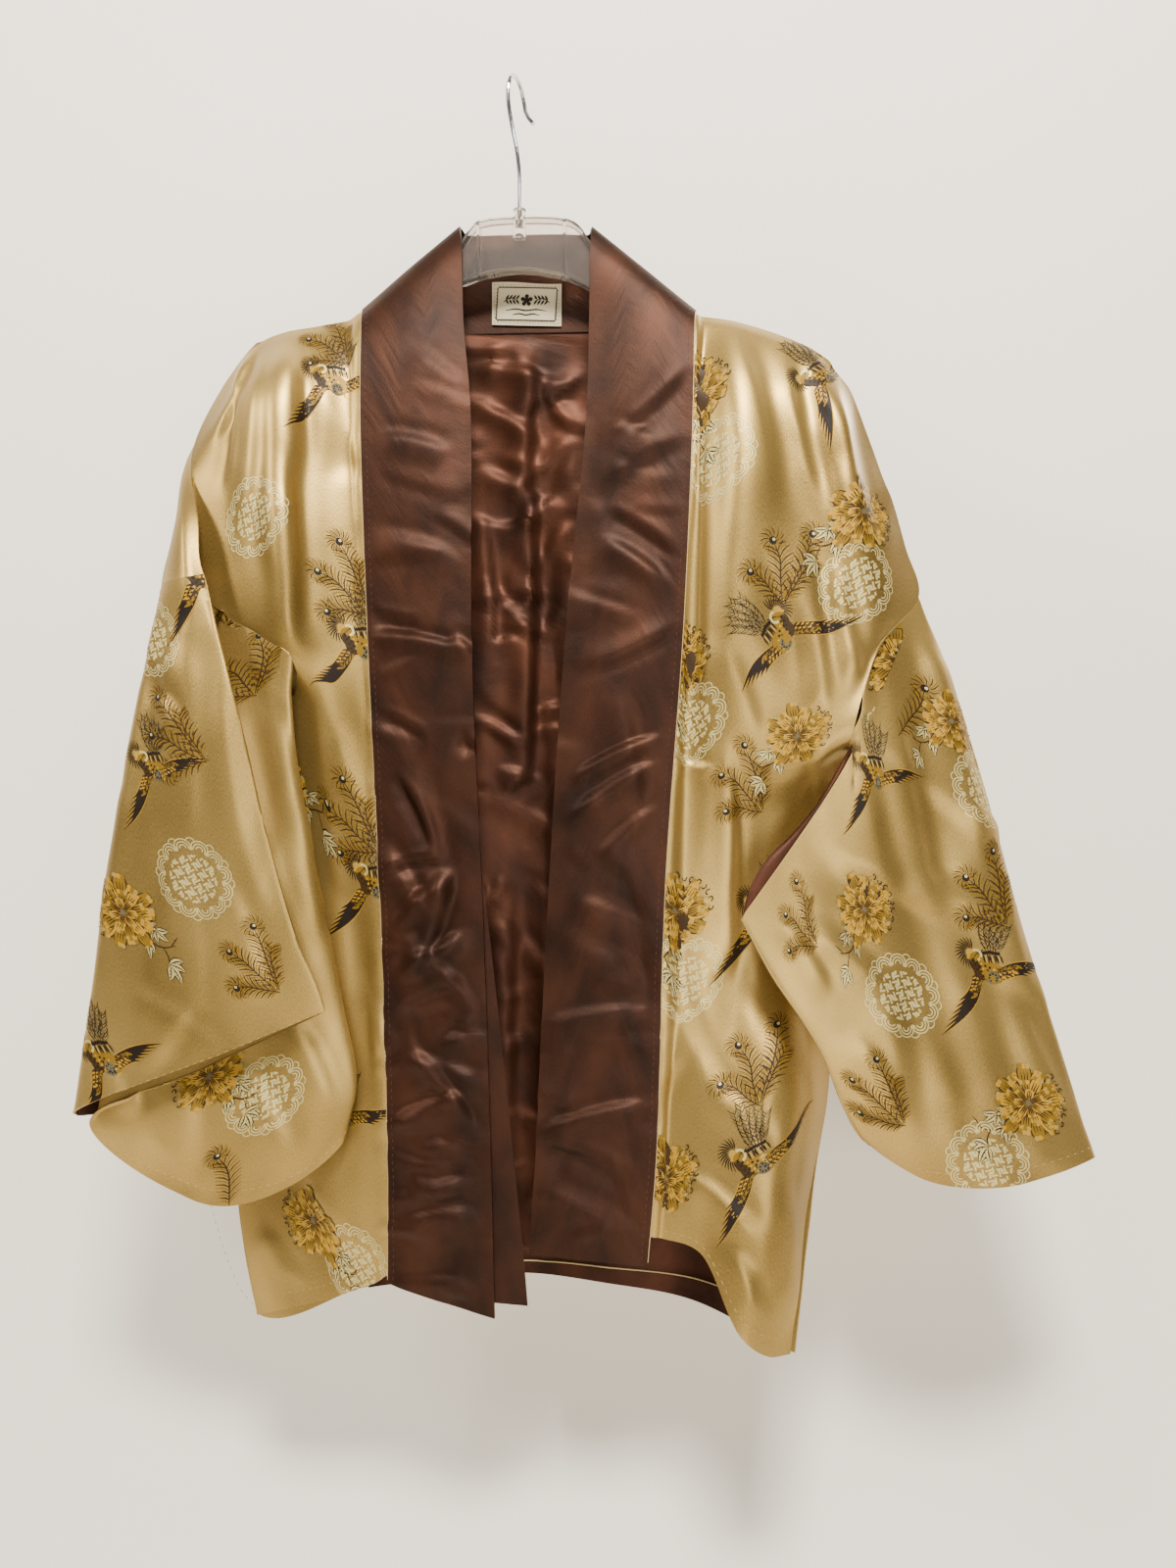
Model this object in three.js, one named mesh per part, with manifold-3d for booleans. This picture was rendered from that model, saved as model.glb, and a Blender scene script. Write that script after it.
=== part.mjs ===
// Kimono jacket of gold brocade with a brown satin collar band, hung on a clear hanger.
// Millimetres, +Z up. The front faces -Y and the wearer's left is at +X.
// The origin is where the rail bears on the underside of the hook's bend.
import * as THREE from 'three';
import Module from 'manifold-3d';

// ---- Driving sizes ----
const SHELL_T = 1.6; // brocade wall
const COLLAR_T = 2.4; // folded collar band
const LINING_T = 1.2; // satin lining
const LABEL_T = 0.8;
const GAP = 0.7; // air left between a wall and what lies on it
const SEAM = 1.4; // drop from the collar band's edge to the back's
const WIRE_R = 1.6; // hook wire
const BEND_R = 14; // inside radius of the hook's bend
const HANGER_D = 10; // depth of the hanger's rims
const HANGER_WEB = 2.2;
const HANGER_RIM = 1.8;

// ---- Sections of the cloth ----
// Each row is a section, each cell the [x, y, z] of one fold or edge in it.
// Wearer's right front, shoulder to hem: collar edge, ridge, armhole then side edge,
// and above the armhole seam the fold behind the flap and the flap's free edge.
const FRONT_RIGHT = [
  [[-104, -3, -167], [-167, -2, -174], [-181, -2, -178], [-186, -1.5, -180], [-191, -1.5, -181]],
  [[-102, -9, -176], [-166, -13, -185], [-184, -8.5, -187], [-192, -6, -189], [-198, -3, -190]],
  [[-96, -24, -226], [-165, -44, -230], [-195, -26, -221], [-206, -15, -217], [-214, -6, -213]],
  [[-96, -26, -276], [-160, -51, -280], [-201, -36, -272], [-222, -27, -267], [-231, -20, -263]],
  [[-94, -29, -317], [-155, -55, -322], [-201, -40, -318], [-226, -37, -313], [-215, -50, -319]],
  [[-92, -30, -358], [-151, -55, -368], [-199, -44, -381], [-230, -40, -360], [-206, -60, -360]],
  [[-91, -31, -393], [-147, -53, -402], [-174, -47, -398]],
  [[-89, -32, -418], [-140, -44, -420], [-149, -50, -414]],
  [[-88, -32, -438], [-135, -37, -438], [-150, -34, -436]],
  [[-88, -33, -468], [-134, -32, -468], [-190, -5, -461]],
  [[-83, -33, -590], [-147, -16, -593], [-204, -2, -595]],
  [[-76, -34, -774], [-147, -18, -781], [-206, -2, -788]],
  [[-75, -35, -841], [-140, -24, -868], [-189, -5, -887]],
];
// Wearer's left front, shoulder to hem: collar edge, first fold, trough, second fold, armhole then side edge.
const FRONT_LEFT = [
  [[119, -3, -173], [154, -2.5, -179], [189, -2, -191], [206, -1.5, -199], [220, -1.5, -209]],
  [[119, -9, -183], [155, -13, -187], [190, -11, -201], [207, -9, -207], [223, -3, -217]],
  [[117, -22, -233], [156, -36, -240], [194, -24, -242], [216, -22, -238], [234, -4, -232]],
  [[115, -26, -294], [158, -45, -301], [200, -29, -303], [232, -30, -299], [256, -4, -292]],
  [[112, -28, -342], [155, -46, -347], [206, -33, -350], [241, -32, -346], [270, -5, -338]],
  [[110, -29, -382], [153, -45, -387], [205, -35, -392], [245, -33, -385], [280, -6, -372]],
  [[108, -30, -429], [149, -41, -432], [200, -38, -437], [229, -40, -430], [250, -30, -411]],
  [[106, -31, -477], [145, -37, -484], [190, -36, -484], [213, -39, -479], [231, -42, -471]],
  [[105, -31, -493], [145, -35, -498], [189, -32, -497], [209, -30, -492], [228, -26, -485]],
  [[104, -31, -519], [145, -33, -522], [187, -22, -521], [205, -16, -518], [220, -11, -514]],
  [[100, -33, -628], [145, -32, -631], [188, -19, -633], [205, -10, -633], [218, -2, -631]],
  [[96, -34, -702], [138, -45, -701], [187, -46, -702], [203, -30, -704], [219, -9, -707]],
  [[93, -35, -761], [134, -52, -764], [176, -63, -773], [194, -46, -778], [205, -26, -777]],
  [[89, -36, -806], [132, -53, -812], [158, -73, -858], [175, -67, -872], [190, -55, -875]],
];
// Back, shoulder to hem: the wearer's right edge, the left edge, then the depth at the middle, how much
// shallower the two pleats beside it are, and how far the middle is above a line between the edges.
const BACK = [
  { right: [-140, 1.6, -169.8], left: [220.5, 1.2, -210], middle: 22, pleat: 0, rise: 16 },
  { right: [-145, 12, -184], left: [224, 1, -217.5], middle: 23, pleat: 2, rise: 14 },
  { right: [-160, 18, -216], left: [235, 0, -233], middle: 24, pleat: 2, rise: 4 },
  { right: [-205, 15, -266], left: [257, 0, -293], middle: 24, pleat: 4, rise: 7 },
  { right: [-226, 8, -322], left: [271, -1, -338], middle: 24, pleat: 5, rise: 6 },
  { right: [-236.4, -11, -367], left: [281.6, -2, -371.4], middle: 24, pleat: 6, rise: 0 },
  { right: [-197, -10, -389], left: [267, 2, -401.5], middle: 23, pleat: 6, rise: 0 },
  { right: [-182, -6, -407], left: [250.6, -8, -440], middle: 21, pleat: 6, rise: -6 },
  { right: [-192, 0.5, -461], left: [231, -12, -484], middle: 20, pleat: 5, rise: -2 },
  { right: [-202, 2.5, -516], left: [222.4, -8, -514], middle: 20, pleat: 6, rise: 0 },
  { right: [-206, 3.5, -595], left: [219.6, 1, -560], middle: 21, pleat: 7, rise: -8 },
  { right: [-209, 3.5, -688], left: [220.6, 1.5, -632], middle: 21, pleat: 7, rise: -12 },
  { right: [-208, 1.5, -788], left: [221.4, -5.5, -708], middle: 20, pleat: 8, rise: -18 },
  { right: [-200, -1, -845], left: [209, -22, -778], middle: 19, pleat: 7, rise: 0 },
  { right: [-190.6, -2, -887], left: [194.6, -51, -876], middle: 18, pleat: 6, rise: 25 },
];
// The part of the back that folds round the shoulder's flap, above the armhole seam:
// flap's free edge, middle, outline.
const BACK_FLAP = [
  [[-191.4, 1.2, -181], [-179, 1.2, -177.8], [-162, 1.2, -173.4]],
  [[-199.5, 1, -190], [-190, 5, -188.5], [-176, 9, -187.5]],
  [[-216, -1.5, -213], [-209, 6, -214], [-194, 13, -215]],
  [[-235, -19, -263], [-237, -13, -264], [-238, -4, -264]],
  [[-218, -52.4, -320], [-224, -53, -321], [-235.4, -40, -321]],
  [[-207.5, -63, -359], [-216.6, -66, -361.5], [-242.4, -46, -363.5]],
];
// Wearer's right sleeve, armhole to wrist: inner edge, front, hidden fold, flap's free edge, outline.
const SLEEVE_RIGHT = [
  [[-151, -49, -416.5], [-173, -46.5, -401.5], [-231, -40.5, -363], [-206, -61, -363], [-242, -46, -367.5]],
  [[-147, -44, -482], [-169, -48, -482], [-251, -46, -488], [-174, -68, -474], [-264, -50, -488]],
  [[-136, -40, -550], [-159, -50, -549], [-264, -47, -560], [-157, -70, -542], [-277, -52, -560]],
  [[-124, -38, -612], [-149, -50, -613], [-275, -48, -632], [-138, -71, -604], [-287, -54, -631]],
  [[-115, -38, -658], [-143, -50, -670], [-284, -48, -697], [-124, -70, -636], [-297, -54, -696]],
  [[-106, -38, -708], [-134, -49, -737], [-289, -49, -735], [-119, -68, -653], [-301, -56, -728]],
  [[-114, -38, -745], [-148, -45, -778], [-294, -49, -739], [-119, -68, -654.5], [-302, -56, -731]],
];
const SLEEVE_RIGHT_LOBE = [-211, -42, -795.5]; // lowest point of the rounded corner, on the last section
const SLEEVE_BACK_Y = [-12, -15]; // depth of the sleeve's back wall, near the outline and near the inner edge
// Wearer's left sleeve, armhole to wrist: top fold, front, under edge, corner seam, back under edge, back.
const SLEEVE_LEFT = [
  [
    [281.5, -5, -375.5], [252.5, -31, -415.5], [233, -42.5, -479],
    [159, -66, -589], [225, -37, -498], [264, 2, -412],
  ],
  [[312, -5, -465], [268, -34, -502], [231, -52, -553], [179, -68, -626], [244, -23, -567], [292, 5, -488]],
  [[331, -6, -532], [279, -35, -564], [236, -55, -601], [198, -66, -654], [248, -20, -605], [310, 6, -550]],
  [[349, -8, -602], [290, -37, -625], [244, -57, -652], [212, -62, -678], [260, -20, -654], [328, 4, -614]],
  [[368, -12, -667], [304, -41, -687], [256, -56, -700], [224, -56, -709], [273, -22, -707], [344, -2, -676]],
  [[386, -18, -731], [321, -45, -739], [267, -52, -739], [236, -50, -732], [286, -24, -745], [361, -8, -734]],
  [
    [391, -22, -750], [332, -45, -764], [280, -48, -761],
    [243, -46, -739], [295, -27, -766], [370, -14, -760],
  ],
];
// Collar band, one length up the wearer's right front, round the neck and down the left:
// seam edge, folded edge.
const COLLAR_RIGHT = [
  [[-83, -39, -846], [-8, -42, -866]],
  [[-83, -38, -773], [-10, -42, -777]],
  [[-88, -37, -604], [-16, -40, -602]],
  [[-98, -35, -407], [-25, -36, -408]],
  [[-105, -30.5, -248], [-28, -25, -243]],
  [[-107, -22, -188], [-35, -16, -176]],
  [[-109, -12, -168], [-38, -8, -117]],
];
const COLLAR_NECK = [
  [[-110.5, -2, -160.5], [-40.6, 0, -103]],
  [[-106, 11, -166], [-38.8, 12, -102.8]],
  [[-86, 17.6, -169], [-32.5, 18, -102]],
  [[-60, 20.5, -171], [-18, 20.5, -101.5]],
  [[4, 22, -172], [4, 21, -101.8]],
  [[66, 20.5, -173.8], [27, 20.5, -102.7]],
  [[96, 17.4, -176], [45, 18, -104.8]],
  [[116, 12.6, -177], [51.5, 12, -106.8]],
  [[127.3, -2, -171.5], [54, 0, -107.6]],
];
const COLLAR_LEFT = [
  [[127, -12, -176], [54, -8, -122]],
  [[127, -22, -197], [54, -16, -182]],
  [[126, -29, -255], [53, -25, -248]],
  [[120, -36.5, -396], [40, -36, -398]],
  [[108, -39.5, -568], [29, -40, -571]],
  [[102, -42, -752], [20, -42, -755]],
  [[96, -42.5, -826], [16, -42, -821]],
];
// Front lining that hangs past the collar band: inner edge, free edge.
const LINING_FRONT = [
  [[-62, -36.4, -536], [-22, -30, -536]],
  [[-58, -37, -692], [-4, -31, -691]],
  [[-50, -38.5, -834], [11, -31, -837]],
  [[-47, -38.5, -855], [13, -31, -861]],
];
const LABEL = { x0: -21, x1: 30, top: -137, foot: -168, bow: 0.8, slope: -0.06 };

// ---- Sections of the hanger ----
// columns: x, top edge, bottom edge
const HANGER = [
  [-176, -188, -194], [-140, -183, -195], [-112, -180.5, -192], [-92, -166, -181], [-54, -128, -153],
  [-40, -116, -144.5], [-33, -106, -141.8], [-27, -101, -140], [3, -99.2, -136.4], [38, -102.6, -143.6],
  [46, -108, -147.4], [55, -121, -152.5], [90, -152, -177], [108, -169, -189], [126, -183.5, -198],
  [154, -191, -205], [194, -207, -215],
];
const RIBS = [-110, -27, 35, 122];
const BOSS = { x: 2.4, top: -92.5, foot: -113, r: 4.6, bore: 2.0, depth: 13 };
// Hook wire's centre line below the bend, foot first, and its short end.
const HOOK_LEG = [[2.4, 0, -104], [2.4, 0, -80], [2.3, -0.4, -67], [1.2, -3.4, -53], [-1, -9.6, -39],
  [-3, -14.6, -25], [-3.4, -15.6, -15]];
const HOOK_BEND_X = [-3.4, 4.2];
const HOOK_TIP = [[4.2, 15.6, -14], [6.8, 15.4, -19.5], [9.6, 14.8, -23]];

// ---- Curves and grids ----
const lerp = (a, b, f) => a.map((v, i) => v + (b[i] - v) * f);
const shifted = (p, dx, dy, dz) => [p[0] + dx, p[1] + dy, p[2] + dz];

// centripetal spline through pts with n steps a span; closed joins the last point to the first
function spline(pts, n, closed = false) {
  const m = pts.length;
  const out = [];
  const at = (i) => {
    if (closed) return pts[(i + m) % m];
    if (i < 0) return lerp(pts[0], pts[1], -1);
    if (i >= m) return lerp(pts[m - 2], pts[m - 1], 2);
    return pts[i];
  };
  const knot = (a, b) => Math.sqrt(Math.max(Math.hypot(...a.map((v, i) => v - b[i])), 1e-3));
  for (let i = 0; i < (closed ? m : m - 1); i++) {
    const steps = Array.isArray(n) ? n[i] : n;
    const [p0, p1, p2, p3] = [at(i - 1), at(i), at(i + 1), at(i + 2)];
    const t1 = knot(p0, p1);
    const t2 = t1 + knot(p1, p2);
    const t3 = t2 + knot(p2, p3);
    for (let k = 0; k < steps; k++) {
      const t = t1 + (t2 - t1) * k / steps;
      const mix = (a, b, ta, tb) => lerp(a, b, (t - ta) / (tb - ta));
      const a1 = mix(p0, p1, 0, t1);
      const a2 = mix(p1, p2, t1, t2);
      const a3 = mix(p2, p3, t2, t3);
      out.push(mix(mix(a1, a2, 0, t2), mix(a2, a3, t1, t3), t1, t2));
    }
  }
  if (!closed) out.push(pts[m - 1].slice());
  return out;
}

// sections to a grid: `across` steps a span along each, `down` steps from one to the next
function grid(net, across, down, closed = false) {
  const fine = net.map((row) => spline(row, across, closed));
  const cols = fine[0].map((_, c) => spline(fine.map((row) => row[c]), down));
  return cols[0].map((_, r) => cols.map((col) => col[r]));
}

function normals(g, closed) {
  const R = g.length;
  const C = g[0].length;
  const col = (k) => (closed ? (k + C) % C : Math.min(Math.max(k, 0), C - 1));
  return g.map((row, r) => row.map((_, c) => {
    const [a, b] = [row[col(c - 1)], row[col(c + 1)]];
    const [u, d] = [g[Math.max(r - 1, 0)][c], g[Math.min(r + 1, R - 1)][c]];
    const s = b.map((v, i) => v - a[i]);
    const t = d.map((v, i) => v - u[i]);
    const n = [t[1] * s[2] - t[2] * s[1], t[2] * s[0] - t[0] * s[2], t[0] * s[1] - t[1] * s[0]];
    const l = Math.hypot(...n) || 1;
    return n.map((v) => v / l);
  }));
}

// grid moved along its normals: forwards where its sections run to +X, backwards where they run to -X
function moved(g, d, closed = false) {
  const n = normals(g, closed);
  return g.map((row, r) => row.map((p, c) => p.map((v, i) => v + n[r][c][i] * d)));
}

function geometry(pos, idx) {
  const at = (k) => pos.slice(3 * k, 3 * k + 3);
  let volume = 0;
  for (let i = 0; i < idx.length; i += 3) {
    const [a, b, c] = [at(idx[i]), at(idx[i + 1]), at(idx[i + 2])];
    volume += a[0] * (b[1] * c[2] - b[2] * c[1]) + a[1] * (b[2] * c[0] - b[0] * c[2])
      + a[2] * (b[0] * c[1] - b[1] * c[0]);
  }
  if (volume < 0) {
    for (let i = 0; i < idx.length; i += 3) [idx[i], idx[i + 1]] = [idx[i + 1], idx[i]];
  }
  const geo = new THREE.BufferGeometry();
  geo.setAttribute('position', new THREE.Float32BufferAttribute(pos, 3));
  geo.setIndex(idx);
  geo.computeVertexNormals();
  return geo;
}

// closed wall of thickness t about a grid; cloth(r, c) says which of its cells there are
function wall(g, t, closed = false, cloth = () => true) {
  const R = g.length;
  const C = g[0].length;
  const sides = [moved(g, t / 2, closed), moved(g, -t / 2, closed)];
  const pos = [];
  const idx = [];
  const ids = new Map();
  const v = (side, r, c) => {
    const k = closed ? (c + C) % C : c;
    const key = `${side} ${r} ${k}`;
    if (!ids.has(key)) {
      ids.set(key, ids.size);
      pos.push(...sides[side][r][k]);
    }
    return ids.get(key);
  };
  const K = closed ? C : C - 1;
  const inside = (r, c) => r >= 0 && r < R - 1 && (closed || (c >= 0 && c < K));
  const on = (r, c) => inside(r, c) && cloth(r, closed ? (c + C) % C : c);
  const quad = (a, b, c, d) => idx.push(a, b, c, a, c, d);
  const edge = (a, b) => quad(v(0, ...a), v(0, ...b), v(1, ...b), v(1, ...a));
  for (let r = 0; r < R - 1; r++) {
    for (let c = 0; c < K; c++) {
      if (!on(r, c)) continue;
      quad(v(0, r, c), v(0, r + 1, c), v(0, r + 1, c + 1), v(0, r, c + 1));
      quad(v(1, r, c), v(1, r, c + 1), v(1, r + 1, c + 1), v(1, r + 1, c));
      if (!on(r - 1, c)) edge([r, c], [r, c + 1]);
      if (!on(r + 1, c)) edge([r + 1, c + 1], [r + 1, c]);
      if (!on(r, c - 1)) edge([r + 1, c], [r, c]);
      if (!on(r, c + 1)) edge([r, c + 1], [r + 1, c + 1]);
    }
  }
  return geometry(pos, idx);
}

// round wire along a centre line, flat at its foot and domed at its end
function wire(path, r, sides) {
  const pts = path.map((p) => new THREE.Vector3(...p));
  const last = pts.length - 1;
  const near = (i) => pts[Math.min(Math.max(i, 0), last)].clone();
  const along = pts.map((_, i) => near(i + 1).sub(near(i - 1)).normalize());
  const rings = pts.map((p, i) => [p, along[i], r]);
  for (const f of [0.45, 0.8]) {
    rings.push([near(last).addScaledVector(along[last], r * f), along[last], r * Math.sqrt(1 - f * f)]);
  }
  const pos = [];
  const idx = [];
  const ref = new THREE.Vector3(1, 0, 0);
  for (const [p, t, rad] of rings) {
    ref.addScaledVector(t, -ref.dot(t)).normalize();
    const side = new THREE.Vector3().crossVectors(t, ref);
    for (let k = 0; k < sides; k++) {
      const a = 2 * Math.PI * k / sides;
      const q = p.clone().addScaledVector(ref, rad * Math.cos(a)).addScaledVector(side, rad * Math.sin(a));
      pos.push(...q.toArray());
    }
  }
  for (let i = 0; i < rings.length - 1; i++) {
    for (let k = 0; k < sides; k++) {
      const a = i * sides + k;
      const b = i * sides + (k + 1) % sides;
      idx.push(a, b, b + sides, a, b + sides, a + sides);
    }
  }
  const foot = pos.length / 3;
  pos.push(...pts[0].toArray(), ...near(last).addScaledVector(along[last], r).toArray());
  const top = (rings.length - 1) * sides;
  for (let k = 0; k < sides; k++) {
    idx.push(foot, (k + 1) % sides, k);
    idx.push(foot + 1, top + k, top + (k + 1) % sides);
  }
  return geometry(pos, idx);
}

// ---- The object ----
const GOLD = 0xcbb47c;
const BROWN = 0x6a4334;
const CLEAR = 0xdfe6e8;
const CHROME = 0xb9bcc0;
const CREAM = 0xcfc5a8;
const group = new THREE.Group();
group.name = 'kimono_robe';
function add(name, geo, color, look = {}) {
  const mesh = new THREE.Mesh(geo, new THREE.MeshStandardMaterial({ color, roughness: 0.5, ...look }));
  mesh.name = name;
  group.add(mesh);
}

// ---- Fronts ----
const SEAM_ROW = 5; // section on which the right armhole seam meets the flap
// cell a part f of the way from the collar seam to the first fold, still lying flat near the seam
const slack = (seam, fold, f) => lerp(seam, fold, f).with(1, seam[1] + (fold[1] - seam[1]) * f * f);
function frontRight() {
  const net = FRONT_RIGHT.map(([collar, ridge, side, fold = side, flap = side]) => (
    [collar, slack(collar, ridge, 0.35), slack(collar, ridge, 0.7), ridge, side, fold, flap]));
  const across = [1, 2, 2, 3, 2, 2];
  const sideCol = across.slice(0, 4).reduce((a, b) => a + b);
  return wall(grid(net, across, 2), SHELL_T, false, (r, c) => r < 2 * SEAM_ROW || c < sideCol);
}
function frontLeft() {
  const net = FRONT_LEFT.map(([collar, fold, ...rest]) => [collar, slack(collar, fold, 0.4), fold, ...rest]);
  return wall(grid(net, [1, 2, 3, 2, 2], 2), SHELL_T);
}

// ---- Collar band ----
const bowed = (a, b) => shifted(lerp(a, b, 0.5), 0, a[1] < 0 ? -1.5 : 0.8, 0);
const collarNet = [...COLLAR_RIGHT, ...COLLAR_NECK, ...COLLAR_LEFT];
const collar = grid(collarNet.map(([seam, fold]) => [seam, bowed(seam, fold), fold]), 2, 2);
const neckSeam = collar.map((row) => row[0]).filter((p) => p[1] > -2);
function seamAt(x) {
  const i = neckSeam.findIndex((p) => p[0] > x);
  const [a, b] = [neckSeam[i - 1], neckSeam[i]];
  return lerp(a, b, (x - a[0]) / (b[0] - a[0]));
}

// ---- Back and its lining ----
const PLEATS = [0.2, 0.36, 0.5, 0.66, 0.82]; // places across the back from its right edge to its left
const NECK = [1, 3, 4, 5, 7].map((k) => COLLAR_NECK[k][0]); // the first section hangs from the band's seam
const backNet = BACK.map((row, r) => {
  const inner = PLEATS.map((f, k) => {
    const [x, y, z] = lerp(row.right, row.left, f);
    const bend = Math.sin(Math.PI * f);
    const arch = Math.sqrt(bend);
    return [x, y * (1 - arch) + row.middle * arch - (k % 2) * row.pleat, z + row.rise * bend];
  });
  return [...BACK_FLAP[Math.min(r, SEAM_ROW)], row.right, ...(r ? inner : NECK), row.left];
});
const BACK_ACROSS = [2, 2, 3, 2, 2, 2, 2, 2, 3];
const BACK_SIDE = 7; // grid column of the right edge
const NECK_EDGE = [-107, 117]; // where the back's top edge runs under the collar band
const underCollar = (p) => p[0] > NECK_EDGE[0] && p[0] < NECK_EDGE[1];
const back = grid(backNet, BACK_ACROSS, 2);
back[0] = back[0].map((p) => (underCollar(p) ? shifted(seamAt(p[0]), 0, 0, -SEAM) : p));
function backPanel() {
  return wall(back, SHELL_T, false, (r, c) => r < 2 * SEAM_ROW || c >= BACK_SIDE);
}
function backLining() {
  const g = moved(back, SHELL_T / 2 + GAP + LINING_T / 2).map((row) => row.slice(BACK_SIDE + 3, -2));
  g[0] = g[0].map((p, c) => lerp(p, g[1][c], 0.35));
  return wall(g, LINING_T);
}

// ---- Sleeves ----
function sleeveRightNet() {
  return SLEEVE_RIGHT.map(([inner, front, hidden, flap, outline], r) => [
    inner,
    front,
    r < SLEEVE_RIGHT.length - 1 ? lerp(front, hidden, 0.45) : SLEEVE_RIGHT_LOBE,
    hidden,
    lerp(hidden, flap, 0.5),
    flap,
    shifted(lerp(flap, outline, 0.35), 0, r ? -8 : -4.5, 0),
    outline,
    lerp(outline, inner, 0.25).with(1, SLEEVE_BACK_Y[0]),
    lerp(outline, inner, 0.62).with(1, SLEEVE_BACK_Y[1]),
  ]);
}
const sleeveRight = grid(sleeveRightNet(), [2, 3, 3, 3, 2, 3, 2, 3, 2, 3], 2, true);
const sleeveLeft = grid(SLEEVE_LEFT, [4, 4, 5, 5, 4, 4], 2, true);
const INWARD = SHELL_T / 2 + GAP + LINING_T / 2;
const slice = (g, rows, cols) => g.slice(...rows).map((row) => row.slice(...cols));
const cuffLining = () => wall(slice(moved(sleeveRight, INWARD, true), [-4], [19, 23]), LINING_T);
const underarmLining = () => wall(slice(moved(sleeveLeft, INWARD, true), [0, 4], [16, 21]), LINING_T);

// ---- Label, on the band behind the neck ----
const BAND_Y = 22; // depth of the collar band's middle behind the neck
const LABEL_SEAT = 0.2; // how much further off the band the label is seated
function label() {
  const rows = [0, 0.25, 0.5, 0.75, 1];
  const inside = BAND_Y - COLLAR_T / 2 - GAP - LABEL_T / 2 - LABEL_SEAT;
  return wall(rows.map((f) => rows.map((u) => {
    const x = LABEL.x0 + (LABEL.x1 - LABEL.x0) * u;
    const wave = LABEL.bow * Math.sin(Math.PI * u) * Math.sin(Math.PI * f);
    return [x, inside - wave, LABEL.top + (LABEL.foot - LABEL.top) * f + LABEL.slope * (x - 4)];
  })), LABEL_T);
}

// ---- Hanger ----
const wasm = await Module();
wasm.setup();
const { Manifold, CrossSection } = wasm;
function hangerBody() {
  const edge = (k) => spline(HANGER.map((row) => [row[0], row[k]]), 3);
  const outline = new CrossSection([[...edge(2), ...edge(1).reverse()]], 'Positive');
  const upright = (face, depth) => face.extrude(depth, 0, 0, [1, 1], true).rotate([90, 0, 0]);
  const pocketD = (HANGER_D - HANGER_WEB) / 2 + 1;
  let pocket = upright(outline.offset(-HANGER_RIM, 'Miter', 4), pocketD);
  for (const x of RIBS) {
    pocket = pocket.subtract(Manifold.cube([HANGER_RIM, 2 * HANGER_D, 200], true).translate([x, 0, -150]));
  }
  const y = (HANGER_WEB + pocketD) / 2;
  const post = (r, foot, top) => Manifold.cylinder(top - foot, r, r, 32).translate([BOSS.x, 0, foot]);
  const solid = upright(outline, HANGER_D)
    .subtract(pocket.translate([0, y, 0]))
    .subtract(pocket.translate([0, -y, 0]))
    .add(post(BOSS.r, BOSS.foot, BOSS.top))
    .subtract(post(BOSS.bore, BOSS.top - BOSS.depth, BOSS.top + 1))
    .getMesh();
  const pos = [];
  for (let i = 0; i < solid.numVert; i++) {
    pos.push(...solid.vertProperties.slice(i * solid.numProp, i * solid.numProp + 3));
  }
  return geometry(pos, [...solid.triVerts]);
}
function hook() {
  const R = BEND_R + WIRE_R;
  const bend = [];
  for (let k = 0; k < 16; k++) {
    const a = Math.PI * k / 16;
    const x = HOOK_BEND_X[0] + (HOOK_BEND_X[1] - HOOK_BEND_X[0]) * k / 16;
    bend.push([x, -R * Math.cos(a), -BEND_R + R * Math.sin(a)]);
  }
  return wire([...spline(HOOK_LEG, 4).slice(0, -1), ...bend, ...spline(HOOK_TIP, 3)], WIRE_R, 12);
}

add('front_right', frontRight(), GOLD);
add('front_left', frontLeft(), GOLD);
add('back_panel', backPanel(), GOLD);
add('sleeve_right', wall(sleeveRight, SHELL_T, true), GOLD);
add('sleeve_left', wall(sleeveLeft, SHELL_T, true), GOLD);
add('collar_band', wall(collar, COLLAR_T), BROWN);
add('lining_back', backLining(), BROWN);
add('lining_front', wall(grid(LINING_FRONT, 3, 3), LINING_T), BROWN);
add('lining_sleeve_right', cuffLining(), BROWN);
add('lining_sleeve_left', underarmLining(), BROWN);
add('label', label(), CREAM);
add('hanger_body', hangerBody(), CLEAR, { transparent: true, opacity: 0.4 });
add('hanger_hook', hook(), CHROME, { metalness: 1, roughness: 0.15 });

export default group;
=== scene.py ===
"""Kimono jacket of gold brocade with brown satin collar band and lining, on a clear hanger.

Tables are in millimetres in the object's own frame: +X to the wearer's left, +Z up, the front to -Y.
"""

import math

import bpy
import numpy as np
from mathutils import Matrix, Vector
from mathutils.bvhtree import BVHTree
from mathutils.geometry import barycentric_transform


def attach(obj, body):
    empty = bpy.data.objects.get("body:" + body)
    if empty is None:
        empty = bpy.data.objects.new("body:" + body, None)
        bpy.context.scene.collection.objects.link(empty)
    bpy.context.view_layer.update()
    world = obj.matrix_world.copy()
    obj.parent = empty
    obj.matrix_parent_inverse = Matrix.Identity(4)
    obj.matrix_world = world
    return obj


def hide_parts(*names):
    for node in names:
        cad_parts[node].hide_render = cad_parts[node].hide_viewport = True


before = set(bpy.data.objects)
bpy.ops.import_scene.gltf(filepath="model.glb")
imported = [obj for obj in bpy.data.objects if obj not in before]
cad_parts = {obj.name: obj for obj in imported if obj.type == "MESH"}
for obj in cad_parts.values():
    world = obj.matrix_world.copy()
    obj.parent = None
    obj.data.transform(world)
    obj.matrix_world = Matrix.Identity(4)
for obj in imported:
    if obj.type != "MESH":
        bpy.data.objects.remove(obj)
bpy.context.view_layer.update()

MM = 0.001
PITCH = 4.0  # spacing of the cloth's grid
FINE = 3.0  # the same for the fronts
FINEST = 2.7  # the same for the collar band
SHELL_T = 1.2  # brocade wall
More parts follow.
